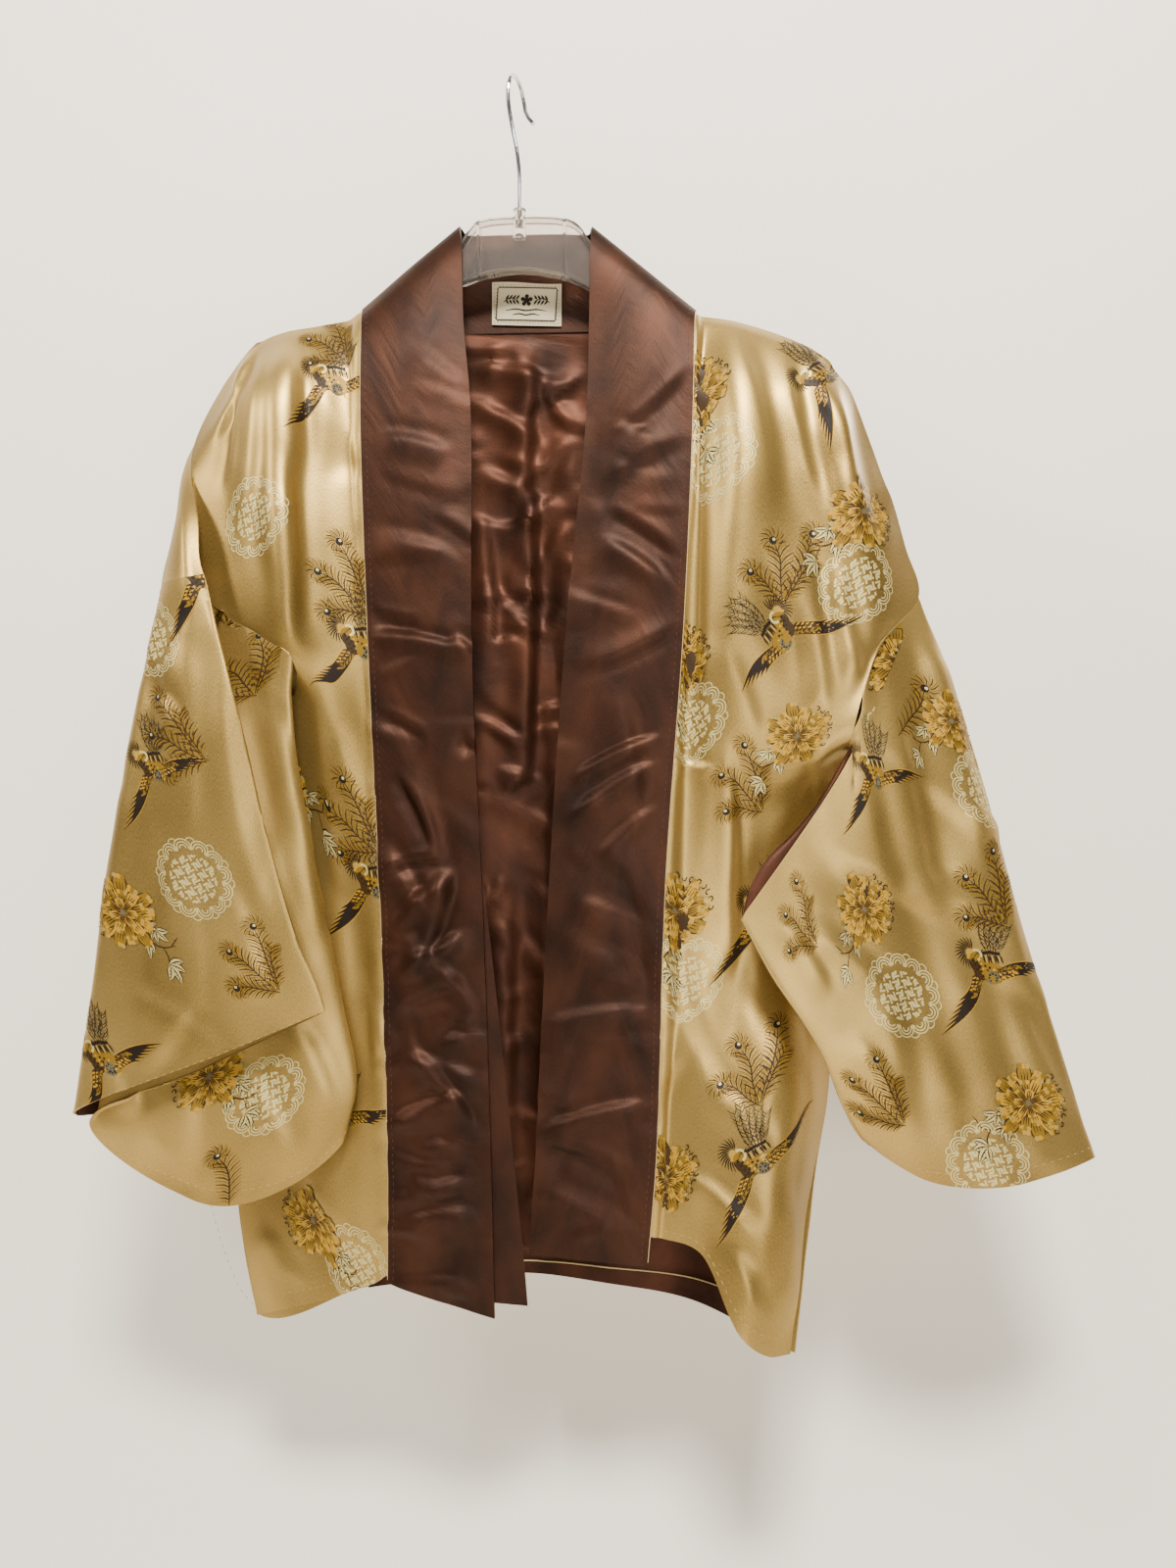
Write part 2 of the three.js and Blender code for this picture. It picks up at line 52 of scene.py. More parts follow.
COLLAR_T = 2.2  # collar band's wall
LINING_T = 0.9  # lining's wall
GAP = 0.7  # air between the brocade and its lining

# ---------------------------------------------------------------- sections of the cloth
# Each row is a section, each cell the x, y, z of one fold or edge in it.
# Wearer's right front: collar edge, ridge, armhole then side edge, hidden fold, flap's free edge.
FRONT_RIGHT = [
    [(-104, -3, -167), (-167, -2, -174), (-181, -2, -178), (-186, -1.5, -180), (-191, -1.5, -181)],
    [(-102, -9, -176), (-166, -13, -185), (-184, -8.5, -187), (-192, -6, -189), (-198, -3, -190)],
    [(-96, -24, -226), (-165, -44, -230), (-195, -26, -221), (-206, -15, -217), (-214, -6, -213)],
    [(-96, -26, -276), (-160, -51, -280), (-201, -36, -272), (-222, -27, -267), (-231, -20, -263)],
    [(-94, -29, -317), (-155, -55, -322), (-201, -40, -318), (-226, -37, -313), (-215, -50, -319)],
    [(-92, -30, -358), (-151, -55, -368), (-199, -44, -381), (-230, -40, -360), (-206, -60, -360)],
    [(-91, -31, -393), (-147, -53, -402), (-174, -47, -398)],
    [(-89, -32, -418), (-140, -44, -420), (-149, -50, -414)],
    [(-88, -32, -438), (-135, -37, -438), (-150, -34, -436)],
    [(-88, -33, -468), (-134, -32, -468), (-190, -5, -461)],
    [(-83, -33, -590), (-147, -16, -593), (-204, -2, -595)],
    [(-76, -34, -774), (-147, -18, -781), (-206, -2, -788)],
    [(-75, -35, -841), (-140, -24, -868), (-189, -5, -887)],
]
# Wearer's left front: collar edge, first fold, trough, second fold, armhole then side edge.
FRONT_LEFT = [
    [(119, -3, -173), (154, -2.5, -179), (189, -2, -191), (206, -1.5, -199), (220, -1.5, -209)],
    [(119, -9, -183), (155, -13, -187), (190, -11, -201), (207, -9, -207), (223, -3, -217)],
    [(117, -22, -233), (156, -36, -240), (194, -24, -242), (216, -22, -238), (234, -4, -232)],
    [(115, -26, -294), (158, -45, -301), (200, -29, -303), (232, -30, -299), (256, -4, -292)],
    [(112, -28, -342), (155, -46, -347), (206, -33, -350), (241, -32, -346), (270, -5, -338)],
    [(110, -29, -382), (153, -45, -387), (205, -35, -392), (245, -33, -385), (280, -6, -372)],
    [(108, -30, -429), (149, -41, -432), (200, -38, -437), (229, -40, -430), (250, -30, -411)],
    [(106, -31, -477), (145, -37, -484), (190, -36, -484), (213, -39, -479), (231, -42, -471)],
    [(105, -31, -493), (145, -35, -498), (189, -32, -497), (209, -30, -492), (228, -26, -485)],
    [(104, -31, -519), (145, -33, -522), (187, -22, -521), (205, -16, -518), (220, -11, -514)],
    [(100, -33, -628), (145, -32, -631), (188, -19, -633), (205, -10, -633), (218, -2, -631)],
    [(96, -34, -702), (138, -45, -701), (187, -46, -702), (203, -30, -704), (219, -9, -707)],
    [(93, -35, -761), (134, -52, -764), (176, -63, -773), (194, -46, -778), (205, -26, -777)],
    [(89, -36, -806), (132, -53, -812), (158, -73, -858), (175, -67, -872), (190, -55, -875)],
]
# Back: the wearer's right edge, the left edge, depth at the middle, pleat depth, rise of the middle.
BACK = [
    ((-140, 1.6, -169.8), (220.5, 1.2, -210), 22, 0, 16),
    ((-145, 12, -184), (224, 1, -217.5), 23, 2, 14),
    ((-160, 18, -216), (235, 0, -233), 24, 2, 4),
    ((-205, 15, -266), (257, 0, -293), 24, 4, 7),
    ((-226, 8, -322), (271, -1, -338), 24, 5, 6),
    ((-236.4, -11, -367), (281.6, -2, -371.4), 24, 6, 0),
    ((-197, -10, -389), (267, 2, -401.5), 23, 6, 0),
    ((-182, -6, -407), (250.6, -8, -440), 21, 6, -6),
    ((-192, 0.5, -461), (231, -12, -484), 20, 5, -2),
    ((-202, 2.5, -516), (222.4, -8, -514), 20, 6, 0),
    ((-206, 3.5, -595), (219.6, 1, -560), 21, 7, -8),
    ((-209, 3.5, -688), (220.6, 1.5, -632), 21, 7, -12),
    ((-208, 1.5, -788), (221.4, -5.5, -708), 20, 8, -18),
    ((-200, -1, -845), (209, -22, -778), 19, 7, 0),
    ((-190.6, -2, -887), (194.6, -51, -876), 18, 6, 25),
]
# Part of the back that folds round the shoulder's flap: free edge, middle, outline.
BACK_FLAP = [
    [(-191.4, 1.2, -181), (-179, 1.2, -177.8), (-162, 1.2, -173.4)],
    [(-199.5, 1, -190), (-190, 5, -188.5), (-176, 9, -187.5)],
    [(-216, -1.5, -213), (-209, 6, -214), (-194, 13, -215)],
    [(-235, -19, -263), (-237, -13, -264), (-238, -4, -264)],
    [(-218, -52.4, -320), (-224, -53, -321), (-235.4, -40, -321)],
    [(-207.5, -63, -359), (-216.6, -66, -361.5), (-242.4, -46, -363.5)],
]
# Wearer's right sleeve: inner edge, front, hidden fold, flap's free edge, outline.
SLEEVE_RIGHT = [
    [(-151, -49, -416.5), (-173, -46.5, -401.5), (-231, -40.5, -363), (-206, -61, -363), (-242, -46, -367.5)],
    [(-147, -44, -482), (-169, -48, -482), (-251, -46, -488), (-174, -68, -474), (-264, -50, -488)],
    [(-136, -40, -550), (-159, -50, -549), (-264, -47, -560), (-157, -70, -542), (-277, -52, -560)],
    [(-124, -38, -612), (-149, -50, -613), (-275, -48, -632), (-138, -71, -604), (-287, -54, -631)],
    [(-115, -38, -658), (-143, -50, -670), (-284, -48, -697), (-124, -70, -636), (-297, -54, -696)],
    [(-106, -38, -708), (-134, -49, -737), (-289, -49, -735), (-119, -68, -653), (-301, -56, -728)],
    [(-114, -38, -745), (-148, -45, -778), (-294, -49, -739), (-119, -68, -654.5), (-302, -56, -731)],
]
SLEEVE_RIGHT_LOBE = (-211, -42, -795.5)  # lowest point of the rounded corner
SLEEVE_BACK = ((0.25, -12), (0.62, -15))  # its back: share of the way in from the outline, depth
# Wearer's left sleeve: top fold, front, under edge, corner seam, back under edge, back.
SLEEVE_LEFT = [
    [(281.5, -5, -375.5), (252.5, -31, -415.5), (233, -42.5, -479), (159, -66, -589), (225, -37, -498),
     (264, 2, -412)],
    [(312, -5, -465), (268, -34, -502), (231, -52, -553), (179, -68, -626), (244, -23, -567), (292, 5, -488)],
    [(331, -6, -532), (279, -35, -564), (236, -55, -601), (198, -66, -654), (248, -20, -605), (310, 6, -550)],
    [(349, -8, -602), (290, -37, -625), (244, -57, -652), (212, -62, -678), (260, -20, -654), (328, 4, -614)],
    [(368, -12, -667), (304, -41, -687), (256, -56, -700), (224, -56, -709), (273, -22, -707),
     (344, -2, -676)],
    [(386, -18, -731), (321, -45, -739), (267, -52, -739), (236, -50, -732), (286, -24, -745),
     (361, -8, -734)],
    [(391, -22, -750), (332, -45, -764), (280, -48, -761), (243, -46, -739), (295, -27, -766),
     (370, -14, -760)],
]
# Collar band up the wearer's right front, round the neck and down the left: seam edge, folded edge.
COLLAR = [
    [(-83, -39, -846), (-8, -42, -866)],
    [(-83, -38, -773), (-10, -42, -777)],
    [(-88, -37, -604), (-16, -40, -602)],
    [(-98, -35, -407), (-25, -36, -408)],
    [(-105, -30.5, -248), (-28, -25, -243)],
    [(-107, -22, -188), (-35, -16, -176)],
    [(-109, -12, -168), (-38, -8, -117)],
    [(-110.5, -2, -160.5), (-40.6, 0, -103)],
    [(-106, 11, -166), (-38.8, 12, -102.8)],
    [(-86, 17.6, -169), (-32.5, 18, -102)],
    [(-60, 20.5, -171), (-18, 20.5, -101.5)],
    [(4, 22, -172), (4, 21, -101.8)],
    [(66, 20.5, -173.8), (27, 20.5, -102.7)],
    [(96, 17.4, -176), (45, 18, -104.8)],
    [(116, 12.6, -177), (51.5, 12, -106.8)],
    [(127.3, -2, -171.5), (54, 0, -107.6)],
    [(127, -12, -176), (54, -8, -122)],
    [(127, -22, -197), (54, -16, -182)],
    [(126, -29, -255), (53, -25, -248)],
    [(120, -36.5, -396), (40, -36, -398)],
    [(108, -39.5, -568), (29, -40, -571)],
    [(102, -42, -752), (20, -42, -755)],
    [(96, -42.5, -826), (16, -42, -821)],
]
# Front lining that hangs past the collar band: inner edge, free edge.
LINING_FRONT = [
    [(-62, -36.4, -536), (-22, -30, -536)],
    [(-58, -37, -692), (-4, -31, -691)],
    [(-50, -38.5, -834), (11, -31, -837)],
    [(-47, -38.5, -855), (13, -31, -861)],
]

# ---------------------------------------------------------------- curves, grids and walls


def spline(pts, steps, closed=False):
    """Centripetal spline along the first axis of pts, with steps[i] steps in span i."""
    m = len(pts)
    if closed:
        p = np.concatenate([pts[-1:], pts, pts[:2]])
    else:
        p = np.concatenate([[2 * pts[0] - pts[1]], pts, [2 * pts[-1] - pts[-2]]])

    def knot(a, b):
        return np.sqrt(np.maximum(np.linalg.norm(b - a, axis=-1, keepdims=True), 1e-3))

    out = []
    for i in range(m if closed else m - 1):
        p0, p1, p2, p3 = p[i:i + 4]
        t1 = knot(p0, p1)
        t2 = t1 + knot(p1, p2)
        t3 = t2 + knot(p2, p3)
        for k in range(steps[i]):
            t = t1 + (t2 - t1) * k / steps[i]
            a1 = p0 + (p1 - p0) * t / t1
            a2 = p1 + (p2 - p1) * (t - t1) / (t2 - t1)
            a3 = p2 + (p3 - p2) * (t - t2) / (t3 - t2)
            b1 = a1 + (a2 - a1) * t / t2
            b2 = a2 + (a3 - a2) * (t - t1) / (t3 - t1)
            out.append(b1 + (b2 - b1) * (t - t1) / (t2 - t1))
    if not closed:
        out.append(pts[-1])
    return np.array(out)


def spans(pts, pitch, closed=False):
    """Steps for each span of pts along its first axis, so that points lie about pitch apart."""
    nxt = np.concatenate([pts[1:], pts[:1]]) if closed else pts[1:]
    length = np.linalg.norm(nxt - pts[:len(nxt)], axis=-1)
    if length.ndim > 1:
        length = length.max(axis=tuple(range(1, length.ndim)))
    return [max(1, math.ceil(x / pitch)) for x in length]


def grid(net, pitch=PITCH, closed=False):
    """Sections to a fine grid: across each section first, then from one section to the next."""
    net = np.array(net, float).transpose(1, 0, 2)
    fine = spline(net, spans(net, pitch, closed), closed).transpose(1, 0, 2)
    return spline(fine, spans(fine, pitch))


def unit(v):
    return v / np.maximum(np.linalg.norm(v, axis=-1, keepdims=True), 1e-9)


def normals(g, closed=False):
    """Normals of a grid: forwards where its sections run to +X, backwards where they run to -X."""
    if closed:
        s = np.roll(g, -1, 1) - np.roll(g, 1, 1)
    else:
        s = np.gradient(g, axis=1)
    return unit(np.cross(np.gradient(g, axis=0), s))


def smoothstep(x):
    x = np.clip(x, 0, 1)
    return x * x * (3 - 2 * x)


STEEP, GENTLE = 0.6, 1.5  # a fold's two flanks, as shares of its half width
SHARPEST = 3.0  # least width of a flank
ENDS = 0.35  # share of a fold's length over which it rises from either end
GROOVE = 0.3  # depth of the dip beside the steep flank, as a share of the fold's height
GROOVE_AT = 2.2  # how far out that dip lies, in steep flanks


def crease(g, n, table, toward=-1.0, lowest=-9.0):
    """Push the layer that faces `toward` along Y out by soft ridges (height above 0) and troughs.

    Columns: x and z where it starts, x and z where it ends, bow sideways, half width, height. The steep
    flank lies to the left of the way from start to end. No point is pushed in by more than `lowest`.
    """
    push = np.zeros(g.shape[:2])
    for x0, z0, x1, z1, bow, half, height in table:
        a, b = np.array([x0, z0], float), np.array([x1, z1], float)
        along = (b - a) / np.linalg.norm(b - a)
        side = np.array([-along[1], along[0]])
        q = g[..., [0, 2]] - a
        s = q @ along / np.linalg.norm(b - a)
        d = q @ side - bow * 4 * s * (1 - s)
        steep = max(STEEP * half, SHARPEST)
        ends = smoothstep(s / ENDS + 0.1) * smoothstep((1 - s) / ENDS + 0.1)
        shape = np.exp(-(d / np.where(d > 0, steep, GENTLE * half)) ** 2)
        shape = shape - GROOVE * np.exp(-(d / steep - GROOVE_AT) ** 2)
        push += height * shape * ends * (s > -0.1) * (s < 1.1)
    push = np.maximum(push, lowest)
    facing = smoothstep(n[..., 1] * toward * 2)
    return g + n * (push * facing)[..., None]


def scatter(seed, count, xs, zs, turns, lengths, halves, height):
    """Rows of small creases for crease(), strewn over a box. Ranges are (low, high); turns are in degrees."""
    dice = np.random.default_rng(seed)
    rows = []
    for _ in range(count):
        x, z, turn, length, half = [dice.uniform(*span) for span in (xs, zs, turns, lengths, halves)]
        dx, dz = length / 2 * math.cos(math.radians(turn)), length / 2 * math.sin(math.radians(turn))
        start, end = (x - dx, z - dz), (x + dx, z + dz)
        if dice.random() < 0.5:
            start, end = end, start
        rows.append((*start, *end, dice.uniform(-0.12, 0.12) * length, half, height * dice.uniform(0.4, 1.0)))
    return rows


def sew(g, edge, reach, rows):
    """Draw a grid's first section onto an edge wherever it is within reach, easing off over some rows."""
    out = g.copy()
    a, b = edge[:-1], edge[1:]
    for i, p in enumerate(g[0]):
        s = np.clip(((p - a) * (b - a)).sum(1) / np.maximum(((b - a) ** 2).sum(1), 1e-9), 0, 1)
        near = a + (b - a) * s[:, None]
        q = near[np.linalg.norm(near - p, axis=1).argmin()]
        hold = smoothstep((reach - np.linalg.norm(q - p)) / (reach * 0.4))
        ease = 1 - smoothstep(np.arange(rows) / rows)
        out[:rows, i] += ease[:, None] * (q - p) * hold
    return out


def add_object(name, data):
    obj = bpy.data.objects.new(name, data)
    bpy.context.scene.collection.objects.link(obj)
    return obj


def mesh_object(name, verts, edges, faces):
    """Object with a mesh of points in metres."""
    mesh = bpy.data.meshes.new(name)
    mesh.from_pydata(verts, edges, faces)
    return add_object(name, mesh)


SHARP_ANGLE = math.radians(55)  # corners sharper than this show as edges


def wall_mesh(name, g, out, t, uv, closed=False, cloth=None):
    """Closed wall of thickness t about grid g. cloth is a mask of the cells that there are.

    out is 1 where the grid's normals stand on the cloth's face side, and -1 where they stand on its back.
    """
    R, C = g.shape[:2]
    K = C if closed else C - 1
    n = normals(g, closed) * out
    pos = np.concatenate([(g + n * t / 2).reshape(-1, 3), (g - n * t / 2).reshape(-1, 3)]) * MM
    there = np.ones((R - 1, K), bool) if cloth is None else cloth[:R - 1, :K]
    r, c = np.nonzero(there)
    c2 = (c + 1) % C
    N = R * C
    a, b, d, e = r * C + c, (r + 1) * C + c, (r + 1) * C + c2, r * C + c2
    flip = out > 0
    front = np.stack([a, b, d, e] if flip else [e, d, b, a], 1)
    faces = [front, front[:, ::-1] + N]
    pad = np.zeros((R + 1, K + 2), bool)
    pad[1:R, 1:K + 1] = there
    if closed:
        pad[1:R, 0], pad[1:R, K + 1] = there[:, -1], there[:, 0]
    open_up, open_down = ~pad[r, c + 1], ~pad[r + 2, c + 1]
    open_left, open_right = ~pad[r + 1, c], ~pad[r + 1, c + 2]
    for rows, (p, q) in ((open_up, (e, a)), (open_down, (b, d)), (open_left, (a, b)), (open_right, (d, e))):
        if not flip:
            p, q = q, p
        faces.append(np.stack([q[rows], p[rows], p[rows] + N, q[rows] + N], 1))
    faces = np.concatenate(faces)
    used = np.unique(faces)
    index = np.full(2 * N, -1)
    index[used] = np.arange(len(used))
    obj = mesh_object(name, pos[used].tolist(), [], index[faces].tolist())
    mesh = obj.data
    layer = mesh.uv_layers.new(name="Cut")
    corner = np.empty(len(mesh.loops), int)
    mesh.loops.foreach_get("vertex_index", corner)
    flat_uv = np.concatenate([uv.reshape(-1, 2)] * 2)[used] * MM
    layer.data.foreach_set("uv", flat_uv[corner].ravel())
    mesh.shade_smooth()
    mesh.set_sharp_from_angle(angle=SHARP_ANGLE)
    return obj


CLEAR, NEAR = 300, 60  # depths from the middle: well clear of the garment, and close to it


def carry(point, tri, source, target):
    """The place in a triangle of the target's points that a point has in the source's."""
    return barycentric_transform(point, *[source[i] for i in tri], *[target[i] for i in tri])


class Cloth:
    """A panel: its fine grid, its cut coordinates (from column `anchor`), and the shell made from them."""

    def __init__(self, name, g, out, t, closed=False, cloth=None, anchor=0):
        self.name, self.g, self.out = name, g, out
        across, down = [np.linalg.norm(np.diff(g, axis=axis), axis=-1).cumsum(axis) for axis in (1, 0)]
        across, down = np.pad(across, ((0, 0), (1, 0))), np.pad(down, ((1, 0), (0, 0)))
        self.uv = np.stack([across - across[:, anchor:anchor + 1], down - g[:1, :, 2]], -1)
        self.n = normals(g, closed) * out
        self.outer = g + self.n * t / 2
        self.obj = wall_mesh(name, g, out, t, self.uv, closed, cloth)
        R, C = g.shape[:2]
        there = np.ones((R - 1, C - 1), bool) if cloth is None else cloth[:R - 1, :C - 1]
        r, c = np.nonzero(there)
        a, b, d, e = r * C + c, (r + 1) * C + c, (r + 1) * C + c + 1, r * C + c + 1
        self.tris = np.concatenate([np.stack([a, b, d], 1), np.stack([a, d, e], 1)]).tolist()
        self.flat = [Vector((u, v, 0)) for u, v in self.uv.reshape(-1, 2).tolist()]
        self.points = [Vector(p) for p in self.outer.reshape(-1, 3).tolist()]
        self.norms = [Vector(p) for p in self.n.reshape(-1, 3).tolist()]
        self.by_cut = BVHTree.FromPolygons(self.flat, self.tris)
        self.by_place = BVHTree.FromPolygons(self.points, self.tris)

    def meet(self, tree, start, way, near):
        """Where a ray meets the panel, or its nearest point to `near`; the triangle; if the ray met it."""
        hit, _, face, _ = tree.ray_cast(Vector(start), Vector(way))
        on = hit is not None
        if not on:
            hit, _, face, _ = tree.find_nearest(Vector(near))
        return hit, self.tris[face], on

    def find(self, x, z):
        """Cut coordinates of the point met from the front at (x, z), and the turn between the two frames."""
        hit, tri, _ = self.meet(self.by_place, (x, -CLEAR, z), (0, 1, 0), (x, -NEAR, z))
        flat = carry(hit, tri, self.points, self.flat)
        p, q = [np.array([tuple(s[i]) for i in tri]) for s in (self.points, self.flat)]
        seen = (p[1:] - p[0])[:, [0, 2]].T
        cut = (q[1:] - q[0])[:, :2].T
        u, _, vt = np.linalg.svd(cut @ np.linalg.pinv(seen))
        return np.array(flat[:2]), u @ vt

    def lay(self, u, v, lift):
        """Point of the outer face at (u, v) of the cut, lifted off it; its normal; if it is on the panel."""
        hit, tri, on = self.meet(self.by_cut, (u, v, 1), (0, 0, -1), (u, v, 0))
        n = carry(hit, tri, self.flat, self.norms).normalized()
        return carry(hit, tri, self.flat, self.points) + n * lift, n, on

    def lay_behind(self, x, z, lift):
        """The same for the point met straight from behind at (x, z)."""
        hit, tri, on = self.meet(self.by_place, (x, CLEAR, z), (0, -1, 0), (x, NEAR, z))
        n = carry(hit, tri, self.points, self.norms).normalized()
        return hit + n * lift, n, on

    def lifted(self, line, lift):
        """Points of a grid line, given as an index into the grid, lifted off the outer face."""
        return (self.outer + self.n * lift)[line].reshape(-1, 3)


# ---------------------------------------------------------------- materials


def put(tree, socket, value):
    """Set an input's value, or link it to the output that is given."""
    if isinstance(value, bpy.types.NodeSocket):
        tree.links.new(value, socket)
    else:
        socket.default_value = value


def feed(tree, node, *inputs, **named):
    """Fill a node's inputs, in their own order or by name."""
    for socket, value in zip(node.inputs, inputs):
        put(tree, socket, value)
    for key, value in named.items():
        put(tree, node.inputs[key.replace("_", " ")], value)


def add_node(tree, kind, *inputs, **named):
    """Outputs of a new node. Names in lower case are settings of the node, and the rest are its inputs."""
    node = tree.nodes.new(kind)
    for key in [key for key in named if key.islower()]:
        setattr(node, key, named.pop(key))
    feed(tree, node, *inputs, **named)
    return node.outputs


def mix_colours(tree, share, a, b):
    node = tree.nodes.new("ShaderNodeMix")
    node.data_type = "RGBA"
    for socket, value in ((0, share), (6, a), (7, b)):
        put(tree, node.inputs[socket], value)
    return node.outputs[2]


def new_group(kind, name, taken, given):
    """Node group with named inputs and outputs, the inputs' sockets and the node that takes the outputs."""
    tree = bpy.data.node_groups.new(name, kind)
    for way, sockets in (("INPUT", taken), ("OUTPUT", given)):
        for label, sort in sockets.items():
            tree.interface.new_socket(label, in_out=way, socket_type="NodeSocket" + sort)
    return tree, tree.nodes.new("NodeGroupInput").outputs, tree.nodes.new("NodeGroupOutput")


def new_material(name):
    mat = bpy.data.materials.new(name)
    mat.use_nodes = True
    return mat, mat.node_tree, mat.node_tree.nodes["Principled BSDF"]


def rgb(code):
    """Linear colour of a hex code."""
    parts = [int(code[i:i + 2], 16) / 255 for i in (0, 2, 4)]
    return [c / 12.92 if c <= 0.04045 else ((c + 0.055) / 1.055) ** 2.4 for c in parts] + [1.0]


GRAIN_DEPTH = 0.0001  # height of a satin's threads, in metres
GRAIN_IN_TONE = 0.35  # how much of the grain shows in its colour


def satin_weave():
    """Group: the fine grain, slow tone and small puckers of a satin cloth, on its cut coordinates."""
    tree, ins, outs = new_group(
        "ShaderNodeTree", "Satin weave",
        {"Cut": "Vector", "Lit": "Color", "Shade": "Color", "Thread scale": "Float", "Pucker scale": "Float",
         "Pucker depth": "Float", "Smooth": "Float", "Rough": "Float"},
        {"Colour": "Color", "Roughness": "Float", "Height": "Float"})

    def noise(scale, share, stretch, detail):
        place = add_node(tree, "ShaderNodeMapping", Vector=ins["Cut"], Scale=stretch)[0]
        size = add_node(tree, "ShaderNodeMath", ins[scale], share, operation="MULTIPLY")[0]
        return add_node(tree, "ShaderNodeTexNoise", Vector=place, Scale=size, Detail=detail)["Fac"]

    grain = noise("Thread scale", 1.0, (1.0, 0.35, 1.0), 2.0)
    tone = noise("Pucker scale", 0.35, (1.0, 0.6, 1.0), 3.0)
    pucker = noise("Pucker scale", 1.0, (0.45, 1.0, 1.0), 2.5)
    both = add_node(tree, "ShaderNodeMath", grain, GRAIN_IN_TONE, tone, operation="MULTIPLY_ADD")[0]
    lit = add_node(tree, "ShaderNodeMapRange", Value=both, From_Min=0.45, From_Max=0.9)[0]
    rough = add_node(tree, "ShaderNodeMapRange", Value=grain, To_Min=ins["Smooth"], To_Max=ins["Rough"])[0]
    deep = add_node(tree, "ShaderNodeMath", pucker, ins["Pucker depth"], operation="MULTIPLY")[0]
    height = add_node(tree, "ShaderNodeMath", grain, GRAIN_DEPTH, deep, operation="MULTIPLY_ADD")[0]
    feed(tree, outs, Colour=mix_colours(tree, lit, ins["Shade"], ins["Lit"]), Roughness=rough, Height=height)
    return tree


WEAVE = satin_weave()


def satin(name, lit, shade, thread, pucker, depth, rough, **sockets):
    """Satin cloth: thread and pucker are textures a metre, depth is the puckers' height in metres."""
    mat, tree, skin = new_material(name)
    cut = add_node(tree, "ShaderNodeUVMap", uv_map="Cut")["UV"]
    weave = add_node(tree, "ShaderNodeGroup", node_tree=WEAVE, Cut=cut, Lit=rgb(lit), Shade=rgb(shade),
                     Thread_scale=thread, Pucker_scale=pucker, Pucker_depth=depth, Smooth=rough[0],
                     Rough=rough[1])
    bump = add_node(tree, "ShaderNodeBump", Strength=1.0, Distance=1.0, Height=weave["Height"])[0]
    feed(tree, skin, Base_Color=weave["Colour"], Roughness=weave["Roughness"], Normal=bump, **sockets)
    return mat


GOLD_SATIN = satin("Gold brocade ground", "bfa05b", "725b2b", 1500, 22, 0.0004, (0.35, 0.48),
                   Metallic=0.8, Specular_IOR_Level=0.3)
# The lining is the collar band's brown satin given lighter colours, as painted light where it lies in shade
# inside the garment.
BROWN_SATIN, PAINTED_LIGHT_LINING_SATIN = [
    satin(name, lit, shade, 1600, 75, 0.0004, (0.4, 0.55), Metallic=0.6, Specular_IOR_Level=0.2)
    for name, lit, shade in (("Brown satin", "3c2215", "1d100a"), ("Brown lining satin", "4a2a1b", "24140d"))]
LABEL_WEAVE = satin("Cream label weave", "b0a687", "958b70", 2200, 40, 0.0002, (0.6, 0.75))


def thread(name, code, rough=0.5, metal=0.0):
    """Woven figure thread: one colour with the fine light and dark of its floats."""
    mat, tree, skin = new_material(name)
    place = add_node(tree, "ShaderNodeTexCoord")["Object"]
    wave = add_node(tree, "ShaderNodeTexNoise", Vector=place, Scale=1400.0, Detail=1.0)["Fac"]
    dark, light = [[min(1, c * gain) for c in rgb(code)[:3]] + [1] for gain in (0.6, 1.2)]
    feed(tree, skin, Base_Color=mix_colours(tree, wave, dark, light), Roughness=rough, Metallic=metal,
         Specular_IOR_Level=0.15)
    return mat


# ---------------------------------------------------------------- panels


def finish_piece(obj, slot, *materials):
    """Dress a piece and let it ride on the one body; the slot is not used."""
    obj.data.materials.clear()
    for material in materials:
        obj.data.materials.append(material)
    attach(obj, "root")


def lerp(a, b, f):
    return np.asarray(a, float) + (np.asarray(b, float) - a) * f


def with_y(p, y):
    return (p[0], y, p[2])


def slack(seam, fold, f):
    """Cell a part f of the way from the collar seam to the first fold, still flat near the seam."""
    return with_y(lerp(seam, fold, f), seam[1] + (fold[1] - seam[1]) * f * f)


def steps_to(net, col, pitch=PITCH, closed=False):
    """Fine grid column of a net's column."""
    return sum(spans(np.array(net, float).transpose(1, 0, 2), pitch, closed)[:col])


def rows_to(net, row, pitch=PITCH):
    """Fine grid row of an open net's section."""
    net = np.array(net, float).transpose(1, 0, 2)
    fine = spline(net, spans(net, pitch)).transpose(1, 0, 2)
    return sum(spans(fine, pitch)[:row])


def mask(g, row, cols):
    """Cells of g without those from `row` down in some columns."""
    cloth = np.ones(g.shape[:2], bool)
    cloth[row:, cols] = False
    return cloth


SEAM_ROW = 5  # section on which the right armhole seam meets the flap
# Main folds of each panel. Columns: x and z of the start, x and z of the end, bow, half width, height.
FOLDS_FRONT_RIGHT = [
    (-160, -184, -152, -300, 3, 9, 5.0),
    (-156, -270, -148, -416, 2, 8, 6.5),
    (-124, -182, -134, -300, -3, 16, 1.6),
    (-190, -184, -214, -262, 5, 5, 3.4),
    (-200, -200, -204, -300, 3, 6, -2.4),
    (-178, -190, -184, -350, 3, 8, 2.2),
    (-138, -430, -100, -560, 5, 12, 2.2),
    (-112, -400, -98, -600, 3, 13, 1.6),
    (-120, -280, -96, -330, 4, 11, 1.4),
    (-128, -480, -106, -720, -4, 13, 2.6),
    (-92, -560, -90, -800, 2, 7, 1.6),
    (-170, -640, -120, -820, 5, 15, 2.4),
    (-160, -800, -95, -850, 2, 13, -1.8),
    (-104, -640, -84, -700, 3, 8, 1.8),
    (-186, -820, -150, -858, -3, 8, 1.6),
]
